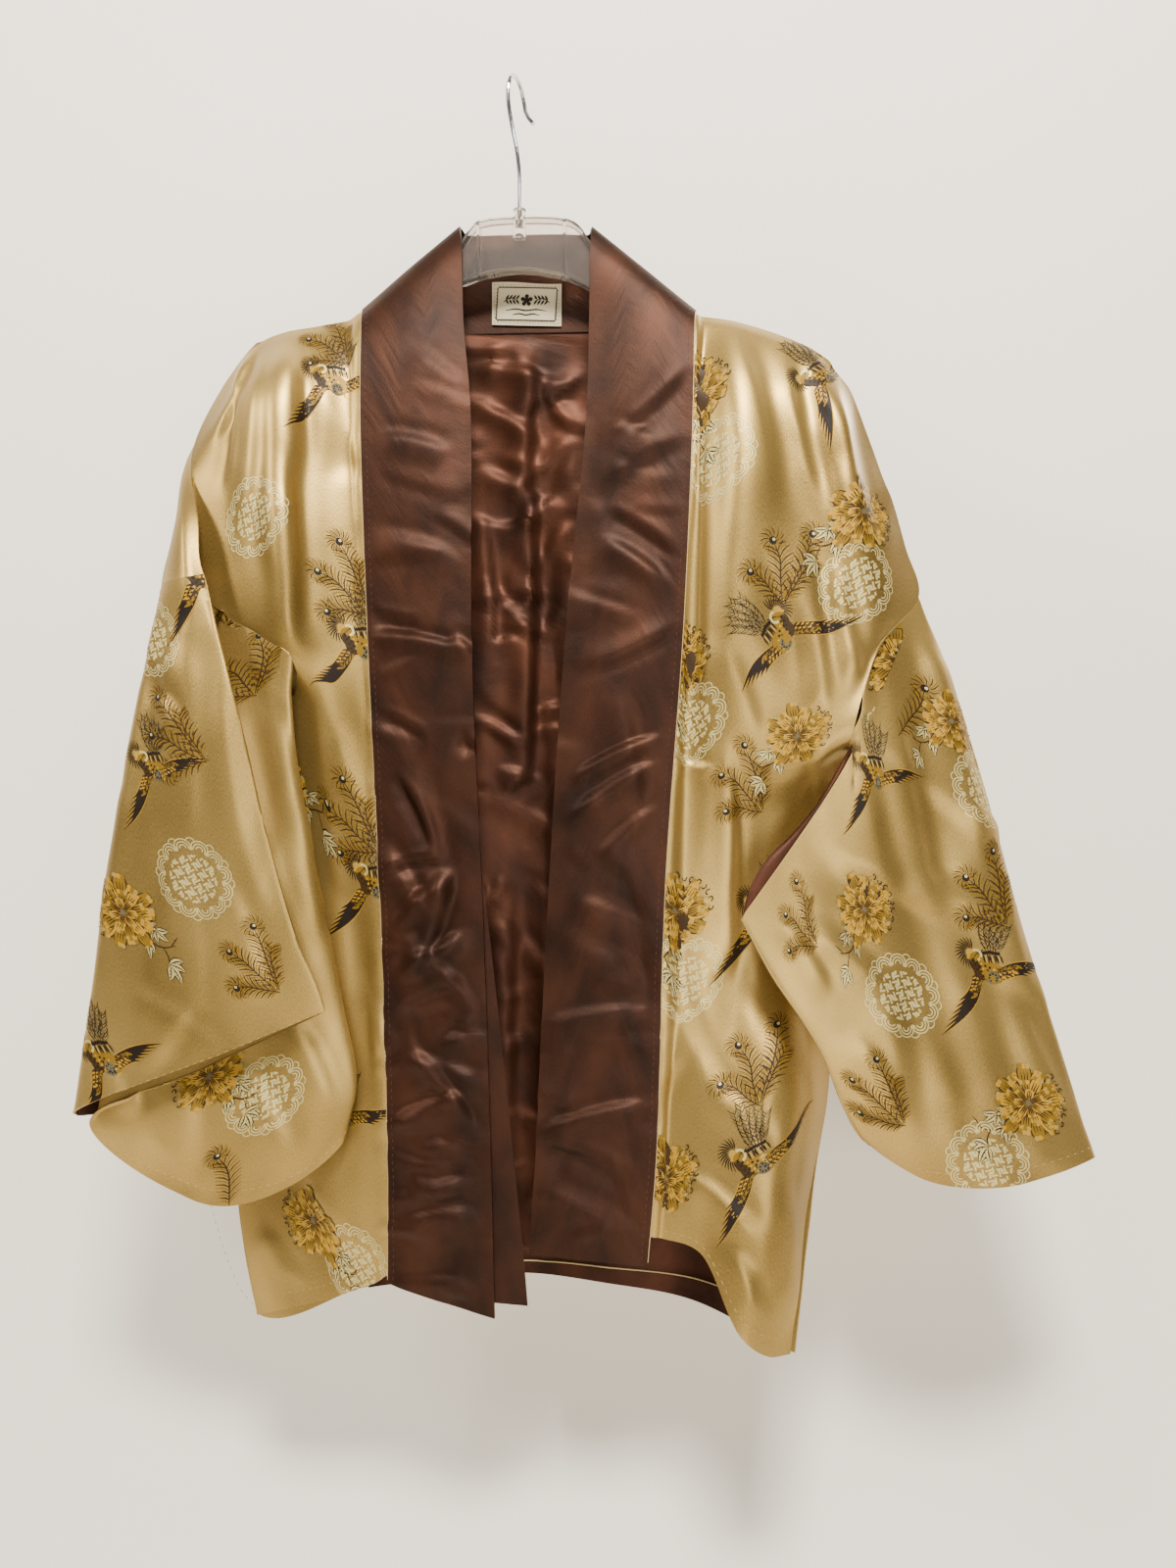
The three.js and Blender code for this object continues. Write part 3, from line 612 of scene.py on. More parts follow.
FOLDS_FRONT_LEFT = [
    (128, -186, 126, -560, 2, 7, -2.4),
    (150, -188, 176, -330, 6, 12, 3.4),
    (186, -195, 214, -330, -5, 10, 4.0),
    (204, -230, 226, -300, 4, 7, -1.8),
    (220, -222, 246, -350, -3, 9, 3.4),
    (166, -330, 200, -450, 5, 11, -2.6),
    (196, -330, 214, -470, 3, 9, 3.2),
    (222, -350, 238, -440, -3, 8, 2.8),
    (140, -400, 170, -480, 3, 10, 2.2),
    (148, -470, 150, -640, 3, 6, 2.8),
    (104, -486, 148, -492, -2, 5, 1.6),
    (176, -520, 150, -700, -4, 11, -2.2),
    (198, -470, 206, -570, 4, 9, -2.6),
    (190, -640, 165, -740, 3, 12, 2.4),
    (108, -640, 160, -735, -4, 10, 2.4),
    (120, -760, 168, -800, 4, 9, 2.8),
    (146, -700, 176, -756, 3, 8, 2.4),
    (150, -800, 168, -850, 2, 8, 2.4),
    (186, -760, 190, -860, 3, 9, 2.6),
]
FOLDS_SLEEVE_RIGHT = [
    (-246, -380, -284, -640, 3, 10, 2.2),
    (-222, -380, -214, -560, 5, 13, 3.0),
    (-196, -420, -160, -600, -3, 12, 2.6),
    (-232, -520, -262, -680, 4, 12, -2.2),
    (-190, -560, -160, -650, 3, 10, 2.4),
    (-265, -640, -180, -690, 3, 12, 2.0),
    (-240, -440, -222, -470, 3, 8, 2.6),
    (-272, -690, -262, -735, 2, 8, 2.6),
    (-226, -700, -232, -780, 5, 11, 2.6),
    (-190, -690, -150, -770, 5, 11, 2.6),
    (-150, -660, -120, -730, 3, 8, 2.2),
    (-255, -748, -214, -790, -4, 8, -2.0),
    (-160, -450, -130, -620, 2, 7, 2.6),
    (-210, -640, -250, -700, 3, 10, 1.8),
]
FOLDS_SLEEVE_LEFT = [
    (280, -384, 322, -600, 5, 11, 4.0),
    (256, -420, 286, -600, -4, 12, 3.8),
    (268, -400, 290, -480, 4, 8, -2.2),
    (236, -480, 262, -600, -4, 10, 2.4),
    (306, -470, 352, -660, 3, 9, 3.0),
    (206, -560, 296, -604, 5, 10, -2.6),
    (196, -590, 252, -640, 3, 9, 2.6),
    (180, -590, 214, -640, 3, 7, 2.2),
    (292, -600, 330, -740, 4, 13, 3.2),
    (250, -620, 270, -740, -3, 12, 2.8),
    (330, -640, 376, -740, 3, 10, 2.6),
    (228, -660, 262, -730, 3, 9, 2.2),
    (268, -560, 330, -600, 4, 8, 2.4),
    (300, -520, 340, -540, 3, 8, 1.8),
]
FOLDS_BACK = [
    (-130, -230, -110, -520, 6, 14, 4.2),
    (-60, -200, -66, -640, -5, 12, 3.6),
    (20, -190, 10, -760, 4, 11, 3.0),
    (90, -200, 84, -600, 5, 13, 3.8),
    (150, -230, 172, -420, 6, 12, 4.2),
    (200, -260, 226, -390, 5, 10, 3.4),
    (-190, -300, -90, -420, 8, 12, 3.6),
    (140, -470, 60, -700, 6, 14, 3.4),
    (-150, -520, -120, -860, 4, 13, 3.4),
    (170, -560, 150, -840, -4, 13, 3.2),
    (-30, -560, -40, -850, 4, 11, 2.8),
    (60, -620, 50, -850, -3, 12, 2.8),
]
FOLDS_BACK_LINING = [
    (6, -176, -4, -300, 3, 8, 4.0),
    (4, -250, 2, -520, 3, 7, 6.0),
    (-40, -196, 30, -214, 3, 6, 3.4),
    (50, -200, -6, -232, 3, 6, 3.0),
    (-40, -222, 20, -262, 4, 6, 3.2),
    (40, -246, -10, -290, 3, 6, 3.0),
    (-34, -270, 30, -300, -3, 7, 3.0),
    (36, -310, 6, -350, 3, 6, 3.4),
    (-30, -350, 4, -400, 3, 7, 3.0),
    (-30, -300, -22, -420, 3, 6, 3.6),
    (-34, -452, 4, -476, 2, 4, 4.0),
    (6, -452, 40, -446, 2, 5, 3.4),
    (4, -466, 40, -462, 2, 4, 2.8),
    (-20, -404, 0, -398, 2, 5, 2.4),
    (-30, -505, 30, -540, 2, 7, 2.6),
    (12, -545, 24, -830, 4, 7, 4.0),
    (-8, -560, -6, -800, -3, 8, 3.0),
    (-28, -600, 20, -640, 4, 8, 2.6),
    (-20, -700, 20, -680, 3, 6, 2.6),
    (-16, -740, 22, -752, 3, 5, 2.8),
]
FOLDS_COLLAR = [
    (-96, -262, -40, -275, 3, 8, 2.2),
    (-100, -330, -30, -352, 3, 8, 1.8),
    (-98, -398, -26, -412, 2, 4.5, 4.0),
    (-96, -384, -60, -392, -2, 5, -2.4),
    (-40, -400, -24, -416, 1, 4, 3.0),
    (-92, -455, -56, -474, 2, 5, -3.2),
    (-34, -470, -24, -482, 1, 4, -3.0),
    (-80, -496, -54, -548, 3, 5, -4.4),
    (-70, -480, -44, -600, 4, 9, 2.4),
    (-88, -540, -48, -596, -4, 7, 3.2),
    (-86, -566, -40, -556, 3, 5, -3.6),
    (-40, -556, -70, -640, 4, 6, 4.4),
    (-84, -610, -30, -560, 4, 7, 3.4),
    (-80, -640, -22, -602, 3, 6, 3.2),
    (-72, -610, -20, -660, 4, 6, 3.4),
    (-80, -664, -24, -640, 3, 6, -3.0),
    (-78, -690, -16, -708, 3, 7, 3.2),
    (-60, -690, -22, -740, 3, 5, 3.4),
    (-84, -738, -18, -713, 3, 6, 4.0),
    (-63, -756, -28, -750, 2, 6, 2.6),
    (-76, -781, -18, -775, 3, 6, 2.6),
    (-72, -805, -18, -797, 3, 7, 2.8),
    (124, -210, 66, -262, 4, 8, 2.2),
    (122, -262, 60, -300, -4, 9, 2.0),
    (62, -316, 116, -352, 3, 6, -2.8),
    (60, -334, 112, -372, 3, 6, 2.6),
    (118, -392, 46, -424, 3, 6, 2.6),
    (70, -430, 86, -540, 6, 9, 1.8),
    (44, -500, 108, -470, 3, 4.5, 4.4),
    (42, -528, 108, -486, 4, 6, 3.8),
    (62, -556, 106, -516, 3, 6, 2.6),
    (40, -580, 100, -606, 3, 9, 2.4),
    (78, -560, 96, -660, 3, 10, -2.0),
    (27, -604, 99, -646, 6, 9, 2.4),
    (19, -670, 104, -655, 4, 8, 3.2),
    (19, -740, 104, -716, 3, 6, 4.4),
    (19, -748, 87, -776, 4, 8, -3.8),
    (21, -778, 91, -811, 4, 9, 2.8),
]
# Small creases strewn between the main ones.
FOLDS_COLLAR += scatter(3, 26, (-96, -20), (-840, -190), (-40, 50), (30, 75), (4, 9), 1.3)
FOLDS_COLLAR += scatter(5, 26, (28, 118), (-840, -190), (-50, 40), (30, 75), (4, 9), 1.3)
FOLDS_COLLAR += scatter(7, 14, (-84, -20), (-720, -600), (-60, 60), (20, 60), (4, 7), 2.2)
FOLDS_COLLAR += scatter(31, 22, (-78, -22), (-850, -730), (-12, 20), (24, 60), (3.5, 6), 2.0)
FOLDS_COLLAR += scatter(8, 9, (28, 92), (-820, -600), (-30, 40), (24, 60), (4, 8), 1.8)
FOLDS_BACK += scatter(23, 14, (-160, 190), (-820, -270), (50, 120), (60, 150), (6, 10), 2.4)
FOLDS_BACK_LINING += scatter(11, 60, (-45, 50), (-840, -180), (-80, 80), (20, 60), (4, 7), 2.6)
FOLDS_FRONT_RIGHT += scatter(13, 14, (-190, -84), (-850, -190), (60, 130), (50, 130), (8, 15), 1.4)
FOLDS_FRONT_LEFT += scatter(17, 16, (104, 270), (-850, -200), (50, 130), (50, 130), (8, 15), 1.6)
FOLDS_SLEEVE_RIGHT += scatter(19, 14, (-290, -120), (-780, -380), (40, 130), (50, 130), (8, 15), 1.6)
FOLDS_SLEEVE_LEFT += scatter(23, 14, (180, 380), (-750, -390), (90, 170), (50, 130), (8, 15), 1.8)


def sew_under(g, collar):
    """Draw a front's first columns up to the underside of the collar band's seam edge."""
    edge = collar.lifted((slice(None), 0), -(COLLAR_T + SHELL_T / 2))
    return sew(g.transpose(1, 0, 2), edge, reach=16.0, rows=8).transpose(1, 0, 2)


def make_front_right(collar):
    """The wearer's right front with its flap, and the row and column of the corner where the flap ends."""
    net = []
    for edge, ridge, side, *flap in FRONT_RIGHT:
        first = [edge, slack(edge, ridge, 0.35), slack(edge, ridge, 0.7), ridge, side]
        net.append(first + (flap or [side, side]))
    g = sew_under(grid(net, FINE), collar)
    g = crease(g, -normals(g), FOLDS_FRONT_RIGHT)
    row, col = rows_to(net, SEAM_ROW, FINE), steps_to(net, 4, FINE)
    return Cloth("front_right_cloth", g, -1, SHELL_T, cloth=mask(g, row, np.s_[col:])), (row, col)


def make_front_left(collar):
    net = [[edge, slack(edge, fold, 0.4), fold, *rest] for edge, fold, *rest in FRONT_LEFT]
    g = sew_under(grid(net, FINE), collar)
    g = crease(g, normals(g), FOLDS_FRONT_LEFT)
    return Cloth("front_left_cloth", g, 1, SHELL_T)


PLEATS = [0.2, 0.36, 0.5, 0.66, 0.82]  # places across the back from its right edge to its left
COLLAR_AT_NECK = (8, 10, 11, 12, 14)  # sections of the collar band that meet those places at the neck


def back_net():
    """Sections of the back, from the wearer's right flap across to the left edge, pleated between."""
    neck = [COLLAR[k][0] for k in COLLAR_AT_NECK]
    net = []
    for r, (right, left, middle, pleat, rise) in enumerate(BACK):
        inner = []
        for k, f in enumerate(PLEATS):
            x, y, z = lerp(right, left, f)
            bend = math.sin(math.pi * f)
            arch = math.sqrt(bend)
            inner.append((x, y * (1 - arch) + middle * arch - (k % 2) * pleat, z + rise * bend))
        net.append([*BACK_FLAP[min(r, SEAM_ROW)], right, *(inner if r else neck), left])
    return net


BAND_BOW = (-1.5, 0.8)  # how far the collar band's middle bows along Y, on the fronts and round the neck


def make_collar():
    net = []
    for seam, fold in COLLAR:
        mid = lerp(seam, fold, 0.5)
        net.append([seam, with_y(mid, mid[1] + BAND_BOW[seam[1] >= 0]), fold])
    g = grid(net, FINEST)
    g = crease(g, -normals(g), FOLDS_COLLAR)
    return Cloth("collar_band_satin", g, -1, COLLAR_T)


NECK_Y = -2  # the collar band's seam edge runs round the back of the neck behind this
NECK_ENDS = (2, 8)  # how far the back's part of it stops short of the right and left ends
UNDER_BAND = 1.0  # how far below it the back hangs


def hang_from(seam, row):
    """The back's first section, set just under the collar band's seam edge where that runs round the neck."""
    neck = seam[seam[:, 1] > NECK_Y]
    out = row.copy()
    for i, p in enumerate(row):
        if neck[0, 0] + NECK_ENDS[0] < p[0] < neck[-1, 0] - NECK_ENDS[1]:
            out[i] = [np.interp(p[0], neck[:, 0], neck[:, k]) for k in range(3)]
            out[i, 2] -= UNDER_BAND
    return out


def turn_corner(g, path, rows):
    """Lay the first section of a grid evenly along a path, between the ends' x, easing off over some rows."""
    cols = np.nonzero((g[0, :, 0] > path[0, 0]) & (g[0, :, 0] < path[-1, 0]))[0]
    run = np.append(0, np.cumsum(np.linalg.norm(np.diff(path, axis=0), axis=1)))
    at = np.linspace(0, run[-1], len(cols))
    even = np.stack([np.interp(at, run, path[:, k]) for k in range(3)], 1)
    ease = 1 - smoothstep(np.arange(rows) / rows)
    g[:rows, cols] += ease[:, None, None] * (even - g[0, cols])


SHOULDERS = (-110, 120)  # where the shoulder seams begin, beside the neck
CORNER = 15  # how far a corner beside the neck runs along the seams on both sides of it


def make_back(collar, front_right, front_left):
    """The back, sewn to both fronts and the collar band; its fine grid; the corner where its flap ends."""
    net = back_net()
    g = grid(net)
    g[0] = hang_from(collar.g[:, 0], g[0])
    for front in (front_right, front_left):
        drawn = sew(g, front.g[0], reach=22.0, rows=9)
        shoulder = (g[0, :, 0] < SHOULDERS[0]) | (g[0, :, 0] > SHOULDERS[1])
        g[:, shoulder] = drawn[:, shoulder]
    neck = collar.g[:, 0] - [0, 0, UNDER_BAND]
    right, left = front_right.g[0], front_left.g[0]
    right = right[right[:, 0] > SHOULDERS[0] - CORNER]
    left = left[left[:, 0] < SHOULDERS[1] + CORNER]
    round_right = neck[(neck[:, 0] < SHOULDERS[0] + CORNER) & (neck[:, 1] > right[0, 1] + 1)]
    round_left = neck[(neck[:, 0] > SHOULDERS[1] - CORNER) & (neck[:, 1] > left[0, 1] + 1)]
    turn_corner(g, np.concatenate([right[::-1], round_right]), rows=9)
    turn_corner(g, np.concatenate([round_left, left]), rows=9)
    sides = sew(g.transpose(1, 0, 2), front_right.g[:, -1], reach=7.0, rows=5)
    g = sew(sides[::-1], front_left.g[:, -1], reach=7.0, rows=5)[::-1].transpose(1, 0, 2)
    row, col = rows_to(net, SEAM_ROW), steps_to(net, 3)
    g = crease(g, -normals(g), FOLDS_BACK, toward=1.0)
    rows = sorted({*range(0, len(g), 2), row, len(g) - 1})
    row = rows.index(row)
    cloth = Cloth("back_cloth", g[rows], -1, SHELL_T, cloth=mask(g[rows], row, np.s_[:col]), anchor=col)
    return cloth, g, (row, col)


LINING_SIDES = (0.2, 6)  # lining of the back: share of the width it starts at, and its gap from the far edge
LINING_HEM = 12  # height of the band that is turned up along its hem
LINING_HEM_OUT = 0.8  # how far that band stands out
LINING_DROP = 0.3  # how far below the neck it begins, as a share of a row


def make_back_lining(g, col):
    """Satin just inside the back from column `col` on, and the row on which its hem's band begins."""
    inside = g + normals(g) * (SHELL_T / 2 + GAP + LINING_T / 2)
    first = col + round((g.shape[1] - col) * LINING_SIDES[0])
    g = inside[:, first:-max(2, round(LINING_SIDES[1] / PITCH))]
    g = crease(g, normals(g), FOLDS_BACK_LINING, lowest=-0.2)
    g[0] = g[0] + (g[1] - g[0]) * LINING_DROP
    middle = g[:, g.shape[1] // 2, 2]
    band = middle < middle[-1] + LINING_HEM
    g[band] += normals(g)[band] * LINING_HEM_OUT
    return Cloth("lining_back_satin", g, 1, LINING_T), int(band.argmax())


FLAP_BOW = (-4.5, -8)  # how far the right sleeve's flap bows forward, at its first section and below


def sleeve_right_net():
    """Sections of the right sleeve: round its front, its flap, the outline and its back."""
    net = []
    for r, (inner, front, hidden, flap, outline) in enumerate(SLEEVE_RIGHT):
        net.append([
            inner,
            front,
            lerp(front, hidden, 0.45) if r < len(SLEEVE_RIGHT) - 1 else SLEEVE_RIGHT_LOBE,
            hidden,
            lerp(hidden, flap, 0.5),
            flap,
            lerp(flap, outline, 0.35) + np.array([0, FLAP_BOW[r > 0], 0]),
            outline,
            *(with_y(lerp(outline, inner, share), y) for share, y in SLEEVE_BACK),
        ])
    return net


def make_sleeve(name, net, folds, anchor, edge):
    """A sleeve's closed tube, its first section drawn onto the armhole's edge."""
    g = sew(grid(net, closed=True), edge, reach=9.0, rows=12)
    g = crease(g, -normals(g, True), folds)
    return Cloth(name, g, -1, SHELL_T, closed=True, anchor=steps_to(net, anchor, closed=True))


def line_sleeve(name, sleeve, rows, cols):
    """Satin just inside part of a sleeve, given as shares of its rows and columns."""
    g = sleeve.g - sleeve.n * (SHELL_T / 2 + GAP + LINING_T / 2)
    part = tuple(slice(round(a * n), round(b * n) + 1) for (a, b), n in zip((rows, cols), g.shape))
    return Cloth(name, g[part], -sleeve.out, LINING_T)


# Lining rolled out past the open armhole edge of the left sleeve. Columns: x, z, how far it shows.
ROLL = [(233, -471, 0.4), (222, -489, 3.2), (208, -511, 2.4), (196, -530, 4.6), (182, -552, 8.8),
        (170, -572, 6.4), (160, -588, 0.8)]
ROLL_TURN = ((-0.6, 3.2), (0, 1.9), (0.6, 1.2), (1, 2.6), (0.9, 5.0))  # round it: share shown, depth behind
ROLL_OUT = np.array([-0.845, 0, 0.533])  # square to that edge, away from the sleeve
ROLL_Y = -80  # in front of the whole edge


def make_roll(sleeve):
    net = []
    for x, z, shown in ROLL:
        edge = np.array(sleeve.by_place.find_nearest(Vector((x, ROLL_Y, z)))[0])
        net.append([edge + ROLL_OUT * (shown * share) + (0, behind, 0) for share, behind in ROLL_TURN])
    return Cloth("lining_sleeve_left_roll", grid(net, FINEST), -1, LINING_T)


collar = make_collar()
front_right, corner = make_front_right(collar)
front_left = make_front_left(collar)
back, back_form, back_corner = make_back(collar, front_right, front_left)
RIGHT_UNDERARM_Z = -418  # where the right armhole seam ends
LEFT_ARMHOLE_Z = (-474, -370)  # from the end of the left armhole seam, where its open edge begins, to its top
below, beside = front_right.g[corner[0]:, corner[1]], front_right.g[corner[0], corner[1]:]
flap = back.g[back_corner[0], :back_corner[1]]
right_edge = np.concatenate([below[below[:, 2] > RIGHT_UNDERARM_Z][::-1], beside, flap])
left_side = front_left.g[:, -1]
left_edge = left_side[(left_side[:, 2] > LEFT_ARMHOLE_Z[0]) & (left_side[:, 2] < LEFT_ARMHOLE_Z[1])]
sleeve_right = make_sleeve("sleeve_right_cloth", sleeve_right_net(), FOLDS_SLEEVE_RIGHT, 5, right_edge)
sleeve_left = make_sleeve("sleeve_left_cloth", SLEEVE_LEFT, FOLDS_SLEEVE_LEFT, 0, left_edge)
lining_back, lining_hem_row = make_back_lining(back_form, back_corner[1])
lining_front = Cloth("lining_front_satin", grid(LINING_FRONT), -1, LINING_T)
lining_cuff = line_sleeve("lining_sleeve_right_satin", sleeve_right, (0.72, 1), (0.74, 0.92))
lining_underarm = line_sleeve("lining_sleeve_left_satin", sleeve_left, (0, 0.4), (0.6, 0.82))
roll = make_roll(sleeve_left)

for cloth, node, slot, material in (
    (front_right, "front_right", "brocade", GOLD_SATIN), (front_left, "front_left", "brocade", GOLD_SATIN),
    (back, "back_panel", "brocade", GOLD_SATIN), (sleeve_right, "sleeve_right", "brocade", GOLD_SATIN),
    (sleeve_left, "sleeve_left", "brocade", GOLD_SATIN), (collar, "collar_band", "satin", BROWN_SATIN),
    (lining_front, "lining_front", "satin", BROWN_SATIN), (lining_back, "lining_back", "satin", PAINTED_LIGHT_LINING_SATIN),
    (lining_cuff, "lining_sleeve_right", "satin", PAINTED_LIGHT_LINING_SATIN),
    (lining_underarm, "lining_sleeve_left", "satin", PAINTED_LIGHT_LINING_SATIN),
):
    finish_piece(cloth.obj, slot, material)
    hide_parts(node)
finish_piece(roll.obj, "satin", PAINTED_LIGHT_LINING_SATIN)

# ---------------------------------------------------------------- woven figures
# A figure is a list of blades: a path with a half width at each of its points, a thread and a layer.
# Its own frame is in millimetres, x across and y up.

THREADS = {
    "ink": thread("Dark brown thread", "1c140d"),
    "umber": thread("Umber thread", "33230e"),
    "gold": thread("Gold thread", "7f611b", 0.45, 0.3),
    "amber": thread("Amber thread", "b0872a", 0.45, 0.3),
    "straw": thread("Straw thread", "9c8141", 0.5, 0.2),
    "cream": thread("Cream thread", "c9b97c", 0.45, 0.5),
    "grey": thread("Grey thread", "565039"),
}
THREAD_NAMES = list(THREADS)
BLADE_STEP = 3.6  # spacing of the points along a blade
SLENDER = 1.2  # blades whose half width is no more than this have no points down their middle
LIFT, LAYER_LIFT = 0.22, 0.05  # how far figures stand off the cloth, and each layer off the last


def turned(pts, degrees, scale=1.0, at=(0.0, 0.0)):
    a = math.radians(degrees)
    rot = np.array([[math.cos(a), math.sin(a)], [-math.sin(a), math.cos(a)]])
    return np.asarray(pts, float) @ rot * scale + at


class Figure:
    """A woven figure being drawn."""

    def __init__(self):
        self.blades = []

    def blade(self, pts, widths, colour, layer=0):
        self.blades.append((np.asarray(pts, float), np.asarray(widths, float), colour, layer))

    def line(self, pts, half, colour, layer=0):
        self.blade(pts, [half * 0.5] + [half] * (len(pts) - 2) + [half * 0.3], colour, layer)

    def leaf(self, a, b, half, colour, layer=0, bow=0.0):
        """Pointed leaf from a to b, bent sideways by bow."""
        a, b = np.array(a, float), np.array(b, float)
        side = np.array([a[1] - b[1], b[0] - a[0]]) / max(np.linalg.norm(b - a), 1e-6)
        pts = [a + (b - a) * s + side * bow * 4 * s * (1 - s) for s in (0, 0.2, 0.45, 0.7, 0.9, 1)]
        self.blade(pts, [0.05, half * 0.75, half, half * 0.75, half * 0.35, 0.05], colour, layer)

    def petal(self, a, b, half, colour, layer=0):
        """Petal from a to b with a full round end."""
        a, b = np.array(a, float), np.array(b, float)
        self.blade([a + (b - a) * s for s in (0, 0.3, 0.6, 0.8, 0.93, 1)],
                   [half * 0.3, half * 0.65, half, half * 0.95, half * 0.6, half * 0.15], colour, layer)

    def disc(self, centre, r, colour, layer=0):
        c = np.array(centre, float)
        xs = np.cos(np.linspace(math.pi, 0, 7)) * r
        self.blade([c + (x, 0) for x in xs], np.sqrt(np.maximum(r * r - xs * xs, 0.0004)), colour, layer)

    def arc(self, centre, r, start, end, half, colour, layer=0):
        """Arc of radius r from start to end, in degrees, as an even band."""
        n = max(3, math.ceil(abs(end - start) / 30) + 1)
        a = np.radians(np.linspace(start, end, n))
        self.blade(np.stack([np.cos(a), np.sin(a)], 1) * r + centre, [half] * n, colour, layer)

    def add(self, other, degrees=0.0, scale=1.0, at=(0.0, 0.0), mirror=False, layer=0):
        for pts, widths, colour, own in other.blades:
            pts = pts * (-1, 1) if mirror else pts
            self.blades.append((turned(pts, degrees, scale, at), widths * scale, colour, own + layer))


def plume(length=46.0, bend=9.0, eye=True):
    """Tail feather: a bent shaft with long barbs, and an eye ringed by curled barbs at its end."""
    fig = Figure()
    shaft = [(0, 0), (bend * 0.5, length * 0.35), (bend, length * 0.7), (bend * 0.9, length)]
    fig.line(shaft, 0.5, "umber", 1)
    path = spline(np.array(shaft, float), [6, 6, 6])
    for i in range(1, len(path) - (3 if eye else 1)):
        tangent = unit(path[i + 1] - path[i - 1])
        normal = np.array([-tangent[1], tangent[0]])
        reach = 5.5 + 3.5 * math.sin(math.pi * i / len(path))
        for side in (-1, 1):
            mid = path[i] + tangent * reach * 0.5 + normal * side * reach * 0.4
            tip = path[i] + tangent * reach * 0.8 + normal * side * reach
            fig.line([path[i], mid, tip], 0.5, ("umber", "gold")[i % 2])
    if eye:
        at = path[-1]
        for k in range(20):
            a = 150 - 300 / 19 * k + 90
            out = 9.4 if k % 2 else 8.2
            fig.line(turned([(3.0, 0), (5.8, 1.2), (out, 4.2)], a, at=at), 0.42, ("umber", "gold")[k % 2])
        fig.disc(at, 2.7, "ink", 1)
        fig.disc(at + (0.8, 0.5), 1.1, "cream", 2)
    return fig


def plumes():
    """Three tail feathers from one root."""
    fig = Figure()
    fig.add(plume(40, 8), 42)
    fig.add(plume(30, 7), 84, at=(2, -2))
    fig.add(plume(50, 4), 2, at=(1, 0))
    fig.add(plume(34, -5, eye=False), -22, at=(2, 0))
    return fig


def wing(length):
    """Half-closed wing of long pinions that narrow together, over dotted coverts."""
    fig = Figure()
    pinions = 6
    for k in range(pinions):
        f = k / (pinions - 1)
        start = (5, 4.5 - 8 * f)
        end = (length * (1 - 0.5 * f), -4 - 1.5 * f)
        fig.leaf(start, end, 1.9, "amber", 0, bow=2.4)
        fig.leaf(start, end, 1.25, "ink", 1, bow=2.4)
    for k in range(9):
        f = k / 8
        fig.leaf((1 + 14 * f, 4.8 - f), (7 + 14 * f, 1.6 - 1.5 * f), 1.1, ("gold", "umber")[k % 2], 2)
        fig.leaf((2 + 12 * f, 1.4), (6 + 12 * f, -3.6 + f), 1.1, ("umber", "amber")[k % 2], 2)
        fig.disc((1.5 + 13 * f, 2.4 - f), 0.55, "ink", 3)
        fig.disc((2 + 10 * f, -0.8), 0.55, "ink", 3)
    return fig


CREST_AT = (-13.0, 9.0)


def bird():
    """Diving long-tailed bird: curled crest, scaled nape, speckled breast, two wings, fine raised plumes."""
    fig = Figure()
    fig.add(wing(54), 238, at=(-7, -4))
    fig.add(wing(46), 14, at=(4, -6))
    fig.petal((-9, 7), (9, -9), 7.0, "gold", 2)
    fig.petal((-12, 4), (-2, -8), 5.0, "umber", 2)
    for k in range(24):
        row, col = divmod(k, 6)
        place = (-11 + 3.0 * col + 1.4 * row, 4.5 - 3.1 * row - 1.2 * col)
        fig.disc(place, 0.85, ("ink", "ink", "amber")[k % 3], 4)
    fig.disc((3, -7), 4.4, "grey", 4)
    for k in range(8):
        fig.disc((3 + 2.7 * math.cos(k * 0.8), -7 + 2.7 * math.sin(k * 0.8)), 0.7, "ink", 5)
    for k in range(7):
        fig.disc((-4 + 2.0 * k, 10.2 - 0.3 * abs(k - 3)), 1.25, "ink", 3)
    for k in range(9):
        fig.leaf((-3 + 1.5 * k, 8.5), (-2 + 1.6 * k, 2.5), 0.7, ("ink", "straw", "umber")[k % 3], 4)
    for k in range(22):
        a = 60 + 14 * k
        fig.line(turned([(3.0, 0), (6.6, 1.0), (10.2, 4.0)], a, at=CREST_AT), 0.5, ("ink", "umber")[k % 2], 1)
    fig.disc(CREST_AT, 4.2, "straw", 0)
    fig.leaf((-16, 5), (-9, 13), 2.1, "amber", 2, bow=-1)
    fig.leaf((-14, 4), (-7, 10), 1.4, "gold", 3, bow=1)
    fig.arc((-8, 8), 3.4, -80, 130, 0.9, "cream", 3)
    for k in range(5):
        lean, reach = -14 + 9 * k, 40 - 3 * abs(k - 1)
        root, mid, tip = turned([(0, 6), (-2, reach * 0.6), (2, reach)], -lean, at=(3, 0))
        fig.line([root, mid, tip], 0.42, "umber", 0)
        for j in range(9):
            at = root + (tip - root) * (0.22 + 0.085 * j)
            for side in (-1, 1):
                barb = turned([(0, 0), (2.2 * side, 2.4), (3.4 * side, 5.2)], -lean, at=at)
                fig.line(barb, 0.34, ("ink", "grey", "umber")[(j + k) % 3])
    return fig


